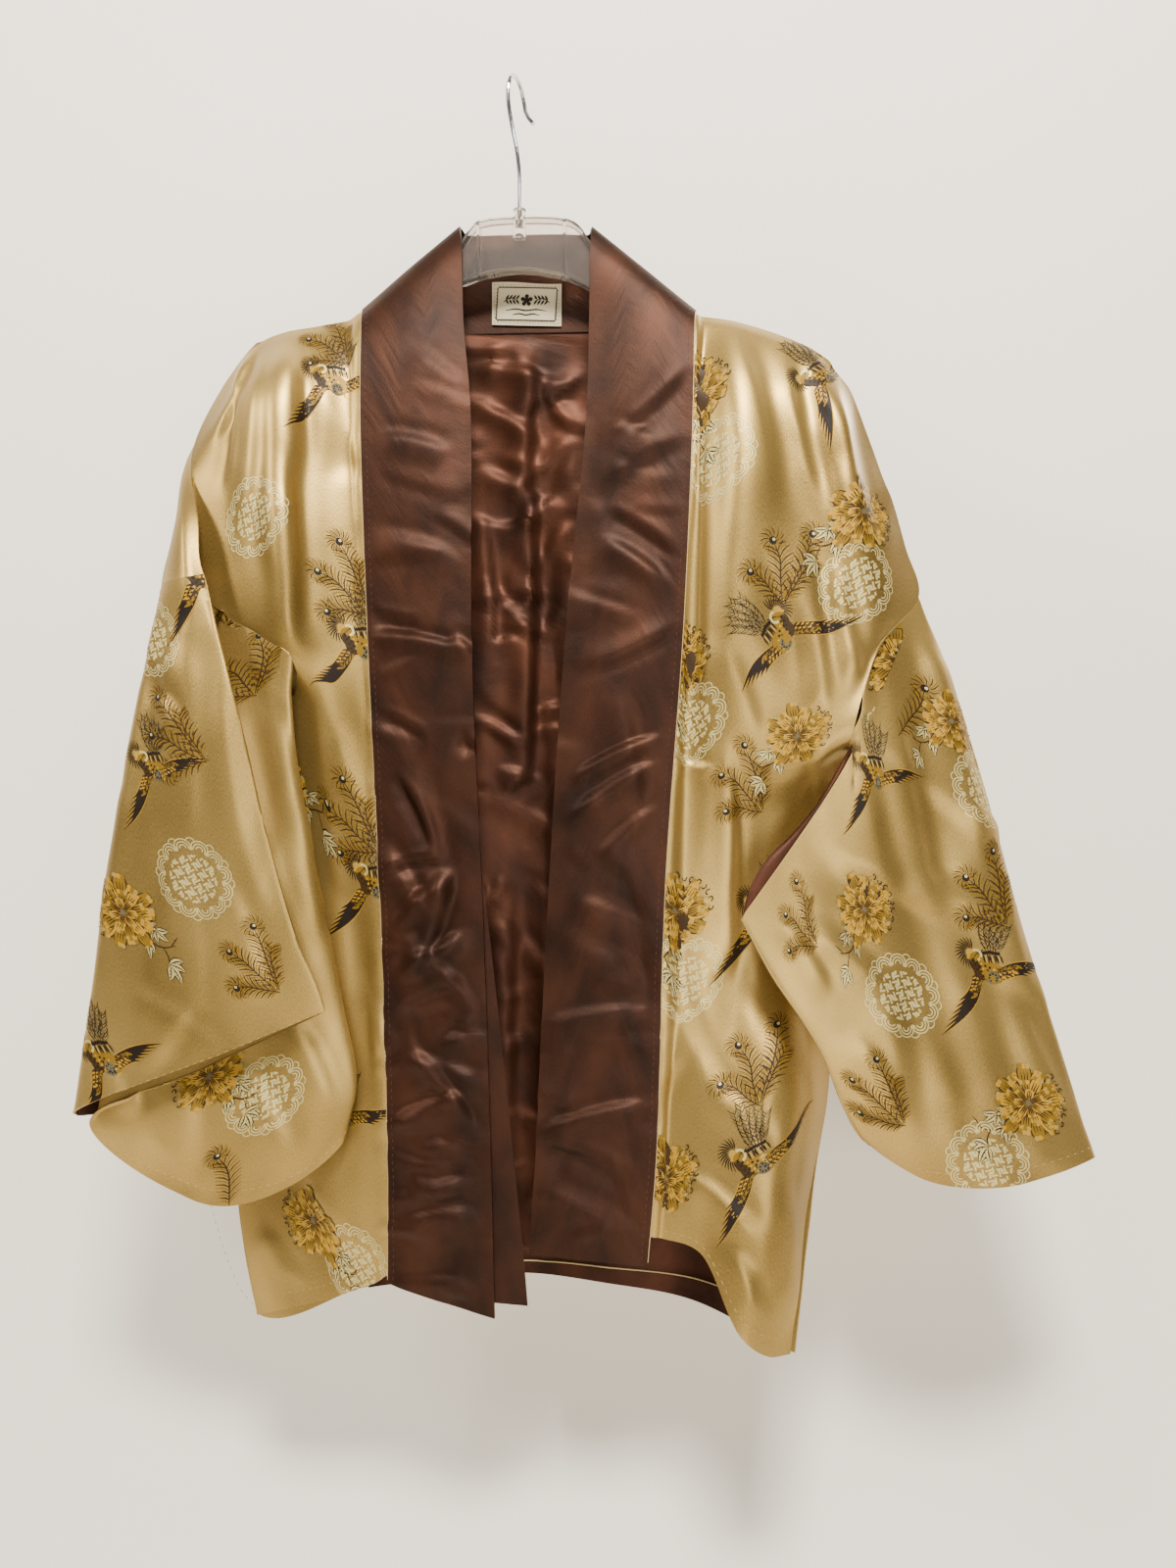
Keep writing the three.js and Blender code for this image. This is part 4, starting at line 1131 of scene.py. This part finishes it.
def peony():
    """Peony in side view: long ruffled petals in three rounds, with dark gaps, and a curled fringe."""
    fig = Figure()
    fig.disc((0, 0), 13.5, "umber", 0)
    rounds = ((13, 5.0, 21.0, 3.6, 6), (11, 2.5, 15.5, 3.1, 20), (7, 0.5, 9.5, 2.5, 0))
    for level, (count, near, far, half, start) in enumerate(rounds):
        layer = 1 + 4 * level
        for k in range(count):
            a = start + 360 / count * k
            reach = far * (1 + 0.12 * math.sin(k * 2.4))
            root, tip = turned([(near, 0), (reach, 0)], a)
            fig.petal(root, tip, half + 0.7, "umber", layer)
            fig.petal(root, tip, half, ("amber", "gold")[(k + level) % 2], layer + 1)
            for side in (-1, 0, 1):
                top = turned([(reach - 1.6, side * half * 0.62)], a)[0]
                fig.disc(top, half * 0.42, ("amber", "straw", "gold")[(k + side) % 3], layer + 2)
                vein = turned([(near + 1, side * half * 0.3), (reach * 0.78, side * half * 0.5)], a)
                fig.line([vein[0], (vein[0] + vein[1]) / 2, vein[1]], 0.42, "umber", layer + 3)
    fig.disc((0, 0), 1.9, "grey", 12)
    for k in range(26):
        x, y = turned([(17.5 + 2.4 * (k % 3), 0)], 128 + 4.2 * k)[0]
        fig.arc((x, y), 1.4, 40 * k, 40 * k + 220, 0.36, ("gold", "straw", "umber")[k % 3], 4)
    return fig


def spray():
    """Stem with three-lobed leaves, cream with dark outlines and veins."""
    fig = Figure()
    fig.line([(0, 0), (5, -5), (12, -7), (20, -5)], 0.45, "umber", 0)
    fig.line([(12, -7), (14, -12), (14, -18)], 0.42, "umber", 0)
    fig.line([(17, -6), (20, -2), (22, 0)], 0.38, "umber", 0)
    groups = (((14, -17), (-62, -100, -18, 20), 11.5), ((0, -3), (-80, -55), 12.5),
              ((1, 2), (62, 30, -5), 11))
    for root, turns, size in groups:
        for k, a in enumerate(turns):
            reach = size * (1.0 if k == 0 else 0.82)
            tip = np.array(root) + turned([(reach, 0)], a)[0]
            for half, colour, layer in ((2.7, "ink", 1), (2.0, "cream", 2)):
                fig.leaf(root, tip, half, colour, layer, bow=0.8)
            fig.leaf(root, tip, 0.42, "umber", 3, bow=0.8)
            for j in range(3):
                at = np.array(root) + (tip - root) * (0.35 + 0.2 * j)
                for side in (-1, 1):
                    fig.line([at, at + turned([(2.2, 1.2 * side)], a)[0]], 0.24, "umber", 3)
    return fig


def fret(r, cell, half):
    """Key fret clipped to a disc of radius r: stepped hooks in a turning lattice."""
    fig = Figure()
    hook = [(-0.5, 0.28), (0.2, 0.28), (0.2, -0.05), (-0.22, -0.05), (-0.22, -0.5)]
    n = int(r // cell) + 2
    for i in range(-n, n + 1):
        for j in range(-n, n + 1):
            turn = 90 * ((i + 2 * j) % 4)
            for flip in (0, 180):
                path = turned(hook, turn + flip, cell, (i * cell, j * cell))
                for a, b in zip(path[:-1], path[1:]):
                    s = np.linspace(0, 1, 7)[:, None]
                    inside = [p for p in a + (b - a) * s if np.hypot(*p) < r]
                    if len(inside) > 2:
                        fig.blade([inside[0], inside[-1]], [half, half], "cream")
    return fig


def medallion():
    """Round of key fret inside a ring of lobed waves, all in cream."""
    fig = Figure()
    fig.add(fret(16.8, 7.4, 0.68), 14)
    lobes = 12
    for k in range(lobes):
        a = 360 / lobes * k
        centre = turned([(21.3, 0)], a)[0]
        for j in range(3):
            fig.arc(centre, 6.2 - 2.0 * j, a - 112 + 6 * j, a + 112 - 6 * j, 0.45, "cream")
        between = turned([(25.2, 0)], a + 180 / lobes)[0]
        fig.arc(between, 3.3, a + 180 / lobes - 60, a + 180 / lobes + 60, 0.42, "cream")
    return fig


def blossom_group():
    """Peony with its leaf sprays."""
    fig = Figure()
    fig.add(spray(), 0, at=(12, -10))
    fig.add(spray(), 78, 0.85, at=(9, 8), mirror=True)
    fig.add(peony(), layer=5)
    return fig


FIGURES = {"bird": bird(), "peony": blossom_group(), "medallion": medallion(), "plumes": plumes(),
           "plume": plume()}


def blade_points(pts, widths):
    """A blade's points down both sides and its middle, about BLADE_STEP apart."""
    line = np.concatenate([pts, widths[:, None], np.zeros((len(pts), 1))], 1)
    gaps = np.linalg.norm(np.diff(pts, axis=0), axis=1)
    fine = spline(line, [max(1, math.ceil(x / BLADE_STEP)) for x in gaps]) if len(pts) > 2 else line
    centre, half = fine[:, :2], np.maximum(fine[:, 2:3], 0.04)
    tangent = unit(np.gradient(centre, axis=0))
    side = np.stack([-tangent[:, 1], tangent[:, 0]], 1)
    offsets = np.array([1, 0, -1] if half.max() > SLENDER else [1, -1])
    return np.stack([centre + side * half * o for o in offsets], 1)


def weave_figures(cloth, places, behind=False):
    """Lay the figures of a table on a panel as one thin mesh. Columns: figure, x, z, turn, size, mirrored."""
    verts, faces, slots = [], [], []
    for kind, x, z, turn, size, mirror in places:
        at, frame_turn = (np.array([x, z]), np.diag([-1, 1])) if behind else cloth.find(x, z)
        fig = Figure()
        fig.add(FIGURES[kind], turn, size, mirror=bool(mirror))
        for pts, widths, colour, layer in fig.blades:
            lanes = blade_points(pts, widths)
            n, m = lanes.shape[:2]
            cut = lanes.reshape(-1, 2) @ frame_turn.T + at
            lay = cloth.lay_behind if behind else cloth.lay
            laid = [lay(u, v, LIFT + LAYER_LIFT * layer) for u, v in cut]
            first = len(verts)
            verts.extend([tuple(p * MM) for p, _, _ in laid])
            for i in range(n - 1):
                for j in range(m - 1):
                    quad = [i * m + j, (i + 1) * m + j, (i + 1) * m + j + 1, i * m + j + 1]
                    p = [laid[q][0] for q in quad]
                    if not any(laid[q][2] for q in quad):
                        continue
                    if (p[2] - p[0]).cross(p[3] - p[1]).dot(laid[quad[0]][1]) < 0:
                        quad.reverse()
                    faces.append([first + q for q in quad])
                    slots.append(THREAD_NAMES.index(colour))
    name = cloth.name + ("_figures_behind" if behind else "_figures")
    obj = mesh_object(name, verts, [], faces)
    finish_piece(obj, "brocade", *THREADS.values())
    obj.data.polygons.foreach_set("material_index", slots)
    obj.data.shade_smooth()


# Where the figures fall. Columns: figure, x, z, turn, size, mirrored.
FIGURES_FRONT_RIGHT = [
    ("plumes", -118, -204, 20, 0.9, 0),
    ("bird", -126, -218, 0, 1.0, 0),
    ("plumes", -100, -382, 24, 1.0, 0),
    ("bird", -104, -404, 0, 1.0, 0),
    ("plumes", -92, -548, 30, 1.0, 0),
    ("bird", -94, -570, 0, 1.0, 0),
    ("medallion", -172, -318, 0, 1.0, 0),
    ("peony", -166, -500, 0, 1.1, 0),
    ("medallion", -172, -545, 10, 1.0, 0),
    ("peony", -142, -812, 0, 1.1, 0),
    ("medallion", -108, -838, 20, 1.0, 0),
    ("bird", -120, -730, 0, 1.0, 0),
]
FIGURES_FRONT_LEFT = [
    ("peony", 130, -232, 10, 1.15, 1),
    ("medallion", 143, -284, 0, 1.0, 0),
    ("bird", 214, -222, 40, 1.0, 0),
    ("peony", 240, -320, 0, 1.15, 1),
    ("medallion", 236, -368, 8, 1.0, 0),
    ("plumes", 186, -380, -20, 1.0, 0),
    ("bird", 184, -402, 60, 1.0, 1),
    ("peony", 116, -412, 40, 1.15, 1),
    ("medallion", 124, -462, 12, 1.0, 0),
    ("peony", 196, -470, 10, 1.0, 1),
    ("plumes", 172, -520, 20, 0.9, 0),
    ("peony", 114, -588, 20, 1.15, 1),
    ("medallion", 120, -636, 0, 1.0, 0),
    ("bird", 176, -592, 0, 1.0, 0),
    ("plumes", 170, -712, 0, 1.0, 0),
    ("bird", 168, -748, 30, 1.0, 0),
    ("peony", 108, -768, 0, 1.1, 1),
]
FIGURES_SLEEVE_RIGHT = [
    ("bird", -203, -335, 20, 1.0, 0),
    ("medallion", -248, -400, 0, 1.0, 0),
    ("plumes", -202, -486, 40, 1.0, 0),
    ("plumes", -176, -440, 10, 0.9, 0),
    ("peony", -262, -590, 0, 1.15, 0),
    ("medallion", -208, -566, 14, 1.0, 0),
    ("plumes", -150, -640, 20, 0.9, 0),
    ("bird", -276, -690, 20, 1.0, 0),
    ("peony", -206, -704, 0, 1.15, 0),
    ("medallion", -166, -716, 0, 1.0, 0),
    ("plume", -196, -798, 30, 1.0, 0),
    ("bird", -240, -490, 10, 0.9, 0),
]
FIGURES_SLEEVE_LEFT = [
    ("plume", 262, -470, -30, 1.1, 0),
    ("bird", 246, -494, 0, 1.0, 0),
    ("medallion", 322, -506, 0, 1.0, 0),
    ("peony", 314, -456, 0, 1.0, 1),
    ("peony", 238, -584, 20, 1.15, 1),
    ("plumes", 206, -606, 30, 0.9, 0),
    ("medallion", 262, -640, 0, 1.0, 0),
    ("plumes", 334, -596, 10, 1.0, 0),
    ("bird", 322, -624, 0, 1.0, 0),
    ("peony", 346, -712, 0, 1.15, 1),
    ("medallion", 318, -748, 0, 1.0, 0),
    ("plumes", 262, -722, 20, 0.9, 0),
]
REPEAT_X, REPEAT_Z = 140, 200  # the brocade's repeat across and down


def repeat(x0, x1, z0, z1):
    """The brocade's own repeat from behind: bird under plumes beside peony over medallion, half dropped."""
    places = []
    for column in range(math.ceil((x1 - x0) / REPEAT_X * 2)):
        x = x0 + column * REPEAT_X / 2
        drop = (column % 4 // 2) * REPEAT_Z / 2
        z = z1 - drop
        while z > z0:
            if column % 2:
                places += [("plumes", x, z + 20, 15, 1.0, 1), ("bird", x, z - 2, 0, 1.0, 1)]
            else:
                places += [("medallion", x + 6, z - 48, 8, 1.0, 0), ("peony", x, z, 0, 1.15, 1)]
            z -= REPEAT_Z
    return places


weave_figures(front_right, FIGURES_FRONT_RIGHT)
weave_figures(front_left, FIGURES_FRONT_LEFT)
weave_figures(sleeve_right, FIGURES_SLEEVE_RIGHT)
weave_figures(sleeve_left, FIGURES_SLEEVE_LEFT)
weave_figures(back, repeat(-150, 190, -860, -205), behind=True)
weave_figures(sleeve_right, repeat(-275, -150, -770, -430), behind=True)
weave_figures(sleeve_left, repeat(262, 372, -740, -420), behind=True)


# ---------------------------------------------------------------- label

LABEL_X, LABEL_Y = (-21, 30), 19.5  # its ends, and its depth
LABEL_TOP, LABEL_FOOT = -137, -168
LABEL_SLOPE, LABEL_MIDDLE = -0.06, 4  # it hangs a little askew about its middle
LABEL_BOW = 0.8  # how far its middle bows forward
LABEL_WAVE = 0.5  # height of the wave along its top edge
LABEL_T = 0.6


def make_label():
    """Small woven label below the back of the neck, a little bowed."""
    across, down = np.linspace(0, 1, 27)[None, :], np.linspace(0, 1, 17)[:, None]
    x = LABEL_X[0] + (LABEL_X[1] - LABEL_X[0]) * across + 0 * down
    z = LABEL_TOP + (LABEL_FOOT - LABEL_TOP) * down + LABEL_SLOPE * (x - LABEL_MIDDLE)
    z = z + LABEL_WAVE * np.sin(6 * across) * (1 - down)
    y = LABEL_Y - LABEL_BOW * np.sin(np.pi * across) * np.sin(np.pi * down) + 0 * x
    cloth = Cloth("label_weave", np.stack([x, y, z], -1), 1, LABEL_T)
    finish_piece(cloth.obj, "label_cloth", LABEL_WEAVE)
    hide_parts("label")
    return cloth


def label_ornament():
    """Scalloped border round two leaf sprays that bow to each other, with a blossom between them."""
    fig = Figure()
    half_w, half_h = 21.5, 11.5
    corners = [(-half_w, -half_h), (half_w, -half_h), (half_w, half_h), (-half_w, half_h), (-half_w, -half_h)]
    for a, b in zip(corners[:-1], corners[1:]):
        a, b = np.array(a), np.array(b)
        count = round(np.linalg.norm(b - a) / 2.2)
        side = unit(np.array([a[1] - b[1], b[0] - a[0]]))
        for k in range(count):
            p, q = a + (b - a) * k / count, a + (b - a) * (k + 1) / count
            fig.blade([p, (p + q) / 2 - side * 0.7, q], [0.4, 0.6, 0.4], "ink")
    for sign in (-1, 1):
        fig.line([(sign * 17, 1), (sign * 12, 4.4), (sign * 6, 1.5)], 0.5, "ink")
        for k in range(4):
            x = sign * (15.5 - 2.6 * k)
            for up in (-1, 1):
                fig.leaf((x, 3), (x - sign * 2.4, 3 + up * 3.6), 0.8, "ink")
    for k in range(5):
        fig.petal((0, 2.5), turned([(4.6, 0)], 90 + 72 * k, at=(0, 2.5))[0], 1.5, "ink")
    for drop, reach in ((-4.4, 15), (-7.6, 10)):
        wave = [(reach * k / 2, drop - 0.5 * (-1) ** k) for k in range(-2, 3)]
        fig.line(wave, 0.5, "ink")
    return fig


FIGURES["label ornament"] = label_ornament()
label = make_label()
weave_figures(label, [("label ornament", 4.5, -152.5, -3.4, 1.0, 0)])


# ---------------------------------------------------------------- cords and stitches


def close_tree(tree, outs, shape, material):
    """End a node tree in a plain mesh of one material, and return both."""
    plain = add_node(tree, "GeometryNodeRealizeInstances", Geometry=shape)[0]
    feed(tree, outs, Geometry=add_node(tree, "GeometryNodeSetMaterial", Geometry=plain, Material=material)[0])
    return tree, material


def thread_group(name, *sizes):
    """Node tree that grows on a chain of edges, with a named input for each size."""
    taken = {"Geometry": "Geometry", **{size: "Float" for size in sizes}}
    return new_group("GeometryNodeTree", name, taken, {"Geometry": "Geometry"})


def cord(material):
    """Round cord along a chain of edges."""
    tree, ins, outs = thread_group("Cord", "Radius", "Spacing")
    curve = add_node(tree, "GeometryNodeMeshToCurve", Mesh=ins["Geometry"])[0]
    even = add_node(tree, "GeometryNodeResampleCurve", mode="LENGTH", Curve=curve, Length=ins["Spacing"])[0]
    ring = add_node(tree, "GeometryNodeCurvePrimitiveCircle", Resolution=8, Radius=ins["Radius"])[0]
    tube = add_node(tree, "GeometryNodeCurveToMesh", Curve=even, Profile_Curve=ring, Fill_Caps=True)[0]
    return close_tree(tree, outs, tube, material)


def stitches(material):
    """Running stitches along a chain of edges: short round threads, each bedded at its ends."""
    tree, ins, outs = thread_group("Running stitch", "Radius", "Spacing", "Length")
    curve = add_node(tree, "GeometryNodeMeshToCurve", Mesh=ins["Geometry"])[0]
    keep = tree.nodes.new("GeometryNodeCaptureAttribute")
    keep.domain = "POINT"
    keep.capture_items.new("VECTOR", "Tangent")
    feed(tree, keep, Geometry=curve, Tangent=add_node(tree, "GeometryNodeInputTangent")[0])
    points = add_node(tree, "GeometryNodeCurveToPoints", mode="LENGTH", Curve=keep.outputs["Geometry"],
                      Length=ins["Spacing"])[0]
    turn = add_node(tree, "FunctionNodeAlignRotationToVector", axis="X", Vector=keep.outputs["Tangent"])[0]
    bead = add_node(tree, "GeometryNodeMeshUVSphere", Segments=8, Rings=5, Radius=1.0)[0]
    size = add_node(tree, "ShaderNodeCombineXYZ", X=ins["Length"], Y=ins["Radius"], Z=ins["Radius"])[0]
    spread = add_node(tree, "GeometryNodeInstanceOnPoints", Points=points, Instance=bead, Rotation=turn,
                      Scale=size)[0]
    return close_tree(tree, outs, spread, material)


def grow(name, points, kind, slot, closed=False, **sizes):
    """Grow a cord or a row of stitches through points, all in millimetres, and leave a plain mesh."""
    tree, material = kind
    n = len(points)
    edges = [(i, (i + 1) % n) for i in range(n if closed else n - 1)]
    obj = mesh_object(name, [tuple(p * MM) for p in points], edges, [])
    modifier = obj.modifiers.new("grow", "NODES")
    modifier.node_group = tree
    for item in tree.interface.items_tree:
        if item.in_out == "INPUT" and item.name in sizes:
            modifier[item.identifier] = sizes[item.name] * MM
    bpy.context.view_layer.update()
    mesh = bpy.data.meshes.new_from_object(obj.evaluated_get(bpy.context.evaluated_depsgraph_get()))
    obj.modifiers.clear()
    obj.data = mesh
    mesh.shade_smooth()
    finish_piece(obj, slot, material)


PIPING = cord(thread("Pale gold piping", "c9b07c", 0.4, 0.3))
SEAM_CORD = cord(thread("Gold seam cord", "a88c52", 0.45, 0.4))
# A dark brown cord used as painted shade in the neck seam.
SEAM_SHADE = cord(thread("Dark seam cord as painted shade", "2c1b12", 0.6))
GOLD_STITCH = stitches(thread("Gold sewing thread", "b4975c", 0.45, 0.2))
BROWN_STITCH = stitches(thread("Brown sewing thread", "4b2f22", 0.5))
SLEEVE_CORNER = steps_to(SLEEVE_LEFT, 3, closed=True)
NECK_SEAM_Y = 5  # the cord in the neck seam runs behind this
NECK_SEAM_AT = np.array([0, -2.2, -1.0])  # its place beside the collar band's seam edge

grow("lapel_piping", collar.lifted(np.s_[1:-1, 0], -0.5), PIPING, "brocade", Radius=0.5, Spacing=3)
grow("sleeve_left_seam", sleeve_left.lifted(np.s_[:, SLEEVE_CORNER], -0.3), SEAM_CORD, "brocade", Radius=1.0,
     Spacing=3)
for name, sleeve in (("armhole_right_seam", sleeve_right), ("armhole_left_seam", sleeve_left)):
    grow(name, sleeve.lifted(np.s_[0, :], -0.6), SEAM_CORD, "brocade", closed=True, Radius=0.6, Spacing=3)
grow("lining_hem_edge", lining_back.lifted(np.s_[lining_hem_row, 2:-2], 0.2), PIPING, "brocade", Radius=0.5,
     Spacing=3)
# The dark cord in the neck seam is painted shade: it darkens the gap between the collar band and the back.
neck_edge = collar.g[:, 0][collar.g[:, 0, 1] > NECK_SEAM_Y]
grow("neck_seam_painted_shade", neck_edge + NECK_SEAM_AT, SEAM_SHADE, "satin", Radius=1.1, Spacing=3)
# Rows of stitches above the hems. Columns: name, panel, line of its grid, if it is closed.
for name, cloth, line, closed in (
    ("sleeve_right_hem", sleeve_right, np.s_[-4, :], True),
    ("sleeve_left_hem", sleeve_left, np.s_[-4, :], True),
    ("front_right_hem", front_right, np.s_[-5, 3:-3], False),
    ("front_left_hem", front_left, np.s_[-5, 3:-3], False),
    ("back_hem", back, np.s_[-3, 3:-3], False),
):
    grow(name, cloth.lifted(line, 0.05), GOLD_STITCH, "brocade", closed, Radius=0.22, Spacing=6, Length=1.6)
grow("collar_edge_stitches", collar.lifted(np.s_[2:-2, 2], 0.02), BROWN_STITCH, "satin", Radius=0.2,
     Spacing=5, Length=1.3)
label_edge = [label.lifted(line, 0.02)
              for line in (np.s_[1, 1:-1], np.s_[1:-1, -2], np.s_[-2, -2:0:-1], np.s_[-2:0:-1, 1])]
grow("label_stitches", np.concatenate(label_edge), BROWN_STITCH, "satin", closed=True, Radius=0.2, Spacing=3,
     Length=0.9)


# ---------------------------------------------------------------- hanger


def marks(tree, place, scale, detail, seen, rough):
    """Roughness that wanders with a noise between two values, over the part of the noise that is seen."""
    noise = add_node(tree, "ShaderNodeTexNoise", Vector=place, Scale=scale, Detail=detail)["Fac"]
    return add_node(tree, "ShaderNodeMapRange", Value=noise, From_Min=seen[0], From_Max=seen[1],
                    To_Min=rough[0], To_Max=rough[1])[0]


def clear_plastic():
    """Clear moulded plastic with faint handling marks."""
    mat, tree, skin = new_material("Clear hanger plastic")
    place = add_node(tree, "ShaderNodeTexCoord")["Object"]
    feed(tree, skin, Roughness=marks(tree, place, 90.0, 5.0, (0.45, 0.75), (0.04, 0.16)), IOR=1.49,
         Base_Color=rgb("efe6dd"), Specular_IOR_Level=0.3, Transmission_Weight=0.95)
    return mat


def chrome():
    """Chromed wire with fine drawn lines along it."""
    mat, tree, skin = new_material("Chromed hook wire")
    place = add_node(tree, "ShaderNodeTexCoord")["Object"]
    drawn = add_node(tree, "ShaderNodeMapping", Vector=place, Scale=(1.0, 1.0, 0.08))[0]
    feed(tree, skin, Roughness=marks(tree, drawn, 900.0, 3.0, (0.35, 0.7), (0.1, 0.26)),
         Base_Color=rgb("c8cacd"), Metallic=1.0)
    return mat


for node, material in (("hanger_body", clear_plastic()), ("hanger_hook", chrome())):
    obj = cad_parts[node]
    obj.data.materials.clear()
    obj.data.materials.append(material)


# ---------------------------------------------------------------- stage, light and camera


def stage_material():
    """Pale backdrop that is clear from its far side and casts no shadow."""
    mat, tree, skin = new_material("Pale backdrop")
    place = add_node(tree, "ShaderNodeTexCoord")["Object"]
    noise = add_node(tree, "ShaderNodeTexNoise", Vector=place, Scale=3.0, Detail=2.0)["Fac"]
    behind = add_node(tree, "ShaderNodeNewGeometry")["Backfacing"]
    shadow = add_node(tree, "ShaderNodeLightPath")["Is Shadow Ray"]
    clear = add_node(tree, "ShaderNodeMath", behind, shadow, operation="MAXIMUM")[0]
    shown = add_node(tree, "ShaderNodeMath", 1.0, clear, operation="SUBTRACT")[0]
    feed(tree, skin, Base_Color=mix_colours(tree, noise, rgb("ebe5d9"), rgb("f1ece1")), Roughness=0.9,
         Alpha=shown)
    return mat


def make_stage():
    """Pale floor that sweeps up into a wall behind the garment, clear from its far side."""
    wall_y, floor_z, reach, bend = 0.16, -1.35, 3.0, 0.5
    front_y, top_z, steps = -2.6, 1.6, 16
    profile = [(front_y, floor_z)]
    for k in range(steps + 1):
        a = math.pi / 2 * k / steps
        profile.append((wall_y - bend + bend * math.sin(a), floor_z + bend - bend * math.cos(a)))
    profile.append((wall_y, top_z))
    verts = [(x, y, z) for x in (-reach, reach) for y, z in profile]
    n = len(profile)
    faces = [(i, i + n, i + n + 1, i + 1) for i in range(n - 1)]
    obj = mesh_object("stage", verts, [], faces)
    obj.data.shade_smooth()
    obj.data.materials.append(stage_material())


def area_light(name, place, aim, size, watts, colour):
    """Rectangular light at a place, aimed at a point, both in metres."""
    data = bpy.data.lights.new(name, "AREA")
    data.shape = "RECTANGLE"
    data.size, data.size_y = size
    data.energy = watts
    data.color = colour
    obj = add_object(name, data)
    obj.location = place
    obj.rotation_euler = (Vector(aim) - Vector(place)).to_track_quat("-Z", "Y").to_euler()


def make_light_and_camera():
    area_light("key", (0.22, -1.3, 0.92), (0.02, 0.0, -0.36), (0.5, 0.35), 92, (1.0, 0.95, 0.88))
    area_light("side", (-1.35, -0.95, 0.45), (0.0, 0.0, -0.45), (0.3, 0.4), 22, (1.0, 0.95, 0.87))
    area_light("low", (0.5, -1.6, -0.7), (0.05, 0.0, -0.5), (0.9, 0.6), 14, (1.0, 0.97, 0.93))
    area_light("back", (1.1, 1.3, 0.55), (0.0, 0.0, -0.45), (0.5, 0.5), 34, (1.0, 0.97, 0.93))
    world = bpy.data.worlds.new("Studio")
    world.use_nodes = True
    feed(world.node_tree, world.node_tree.nodes["Background"], Color=(1.0, 0.97, 0.93, 1), Strength=0.16)
    bpy.context.scene.world = world
    cam = bpy.data.cameras.new("camera")
    cam.lens = 28.96
    cam.sensor_width = 36
    cam.clip_start = 0.02
    obj = add_object("camera", cam)
    obj.location = (0.145, -0.890, -0.502)
    obj.rotation_euler = (math.radians(90), 0, math.radians(6))
    bpy.context.scene.camera = obj


make_stage()
make_light_and_camera()
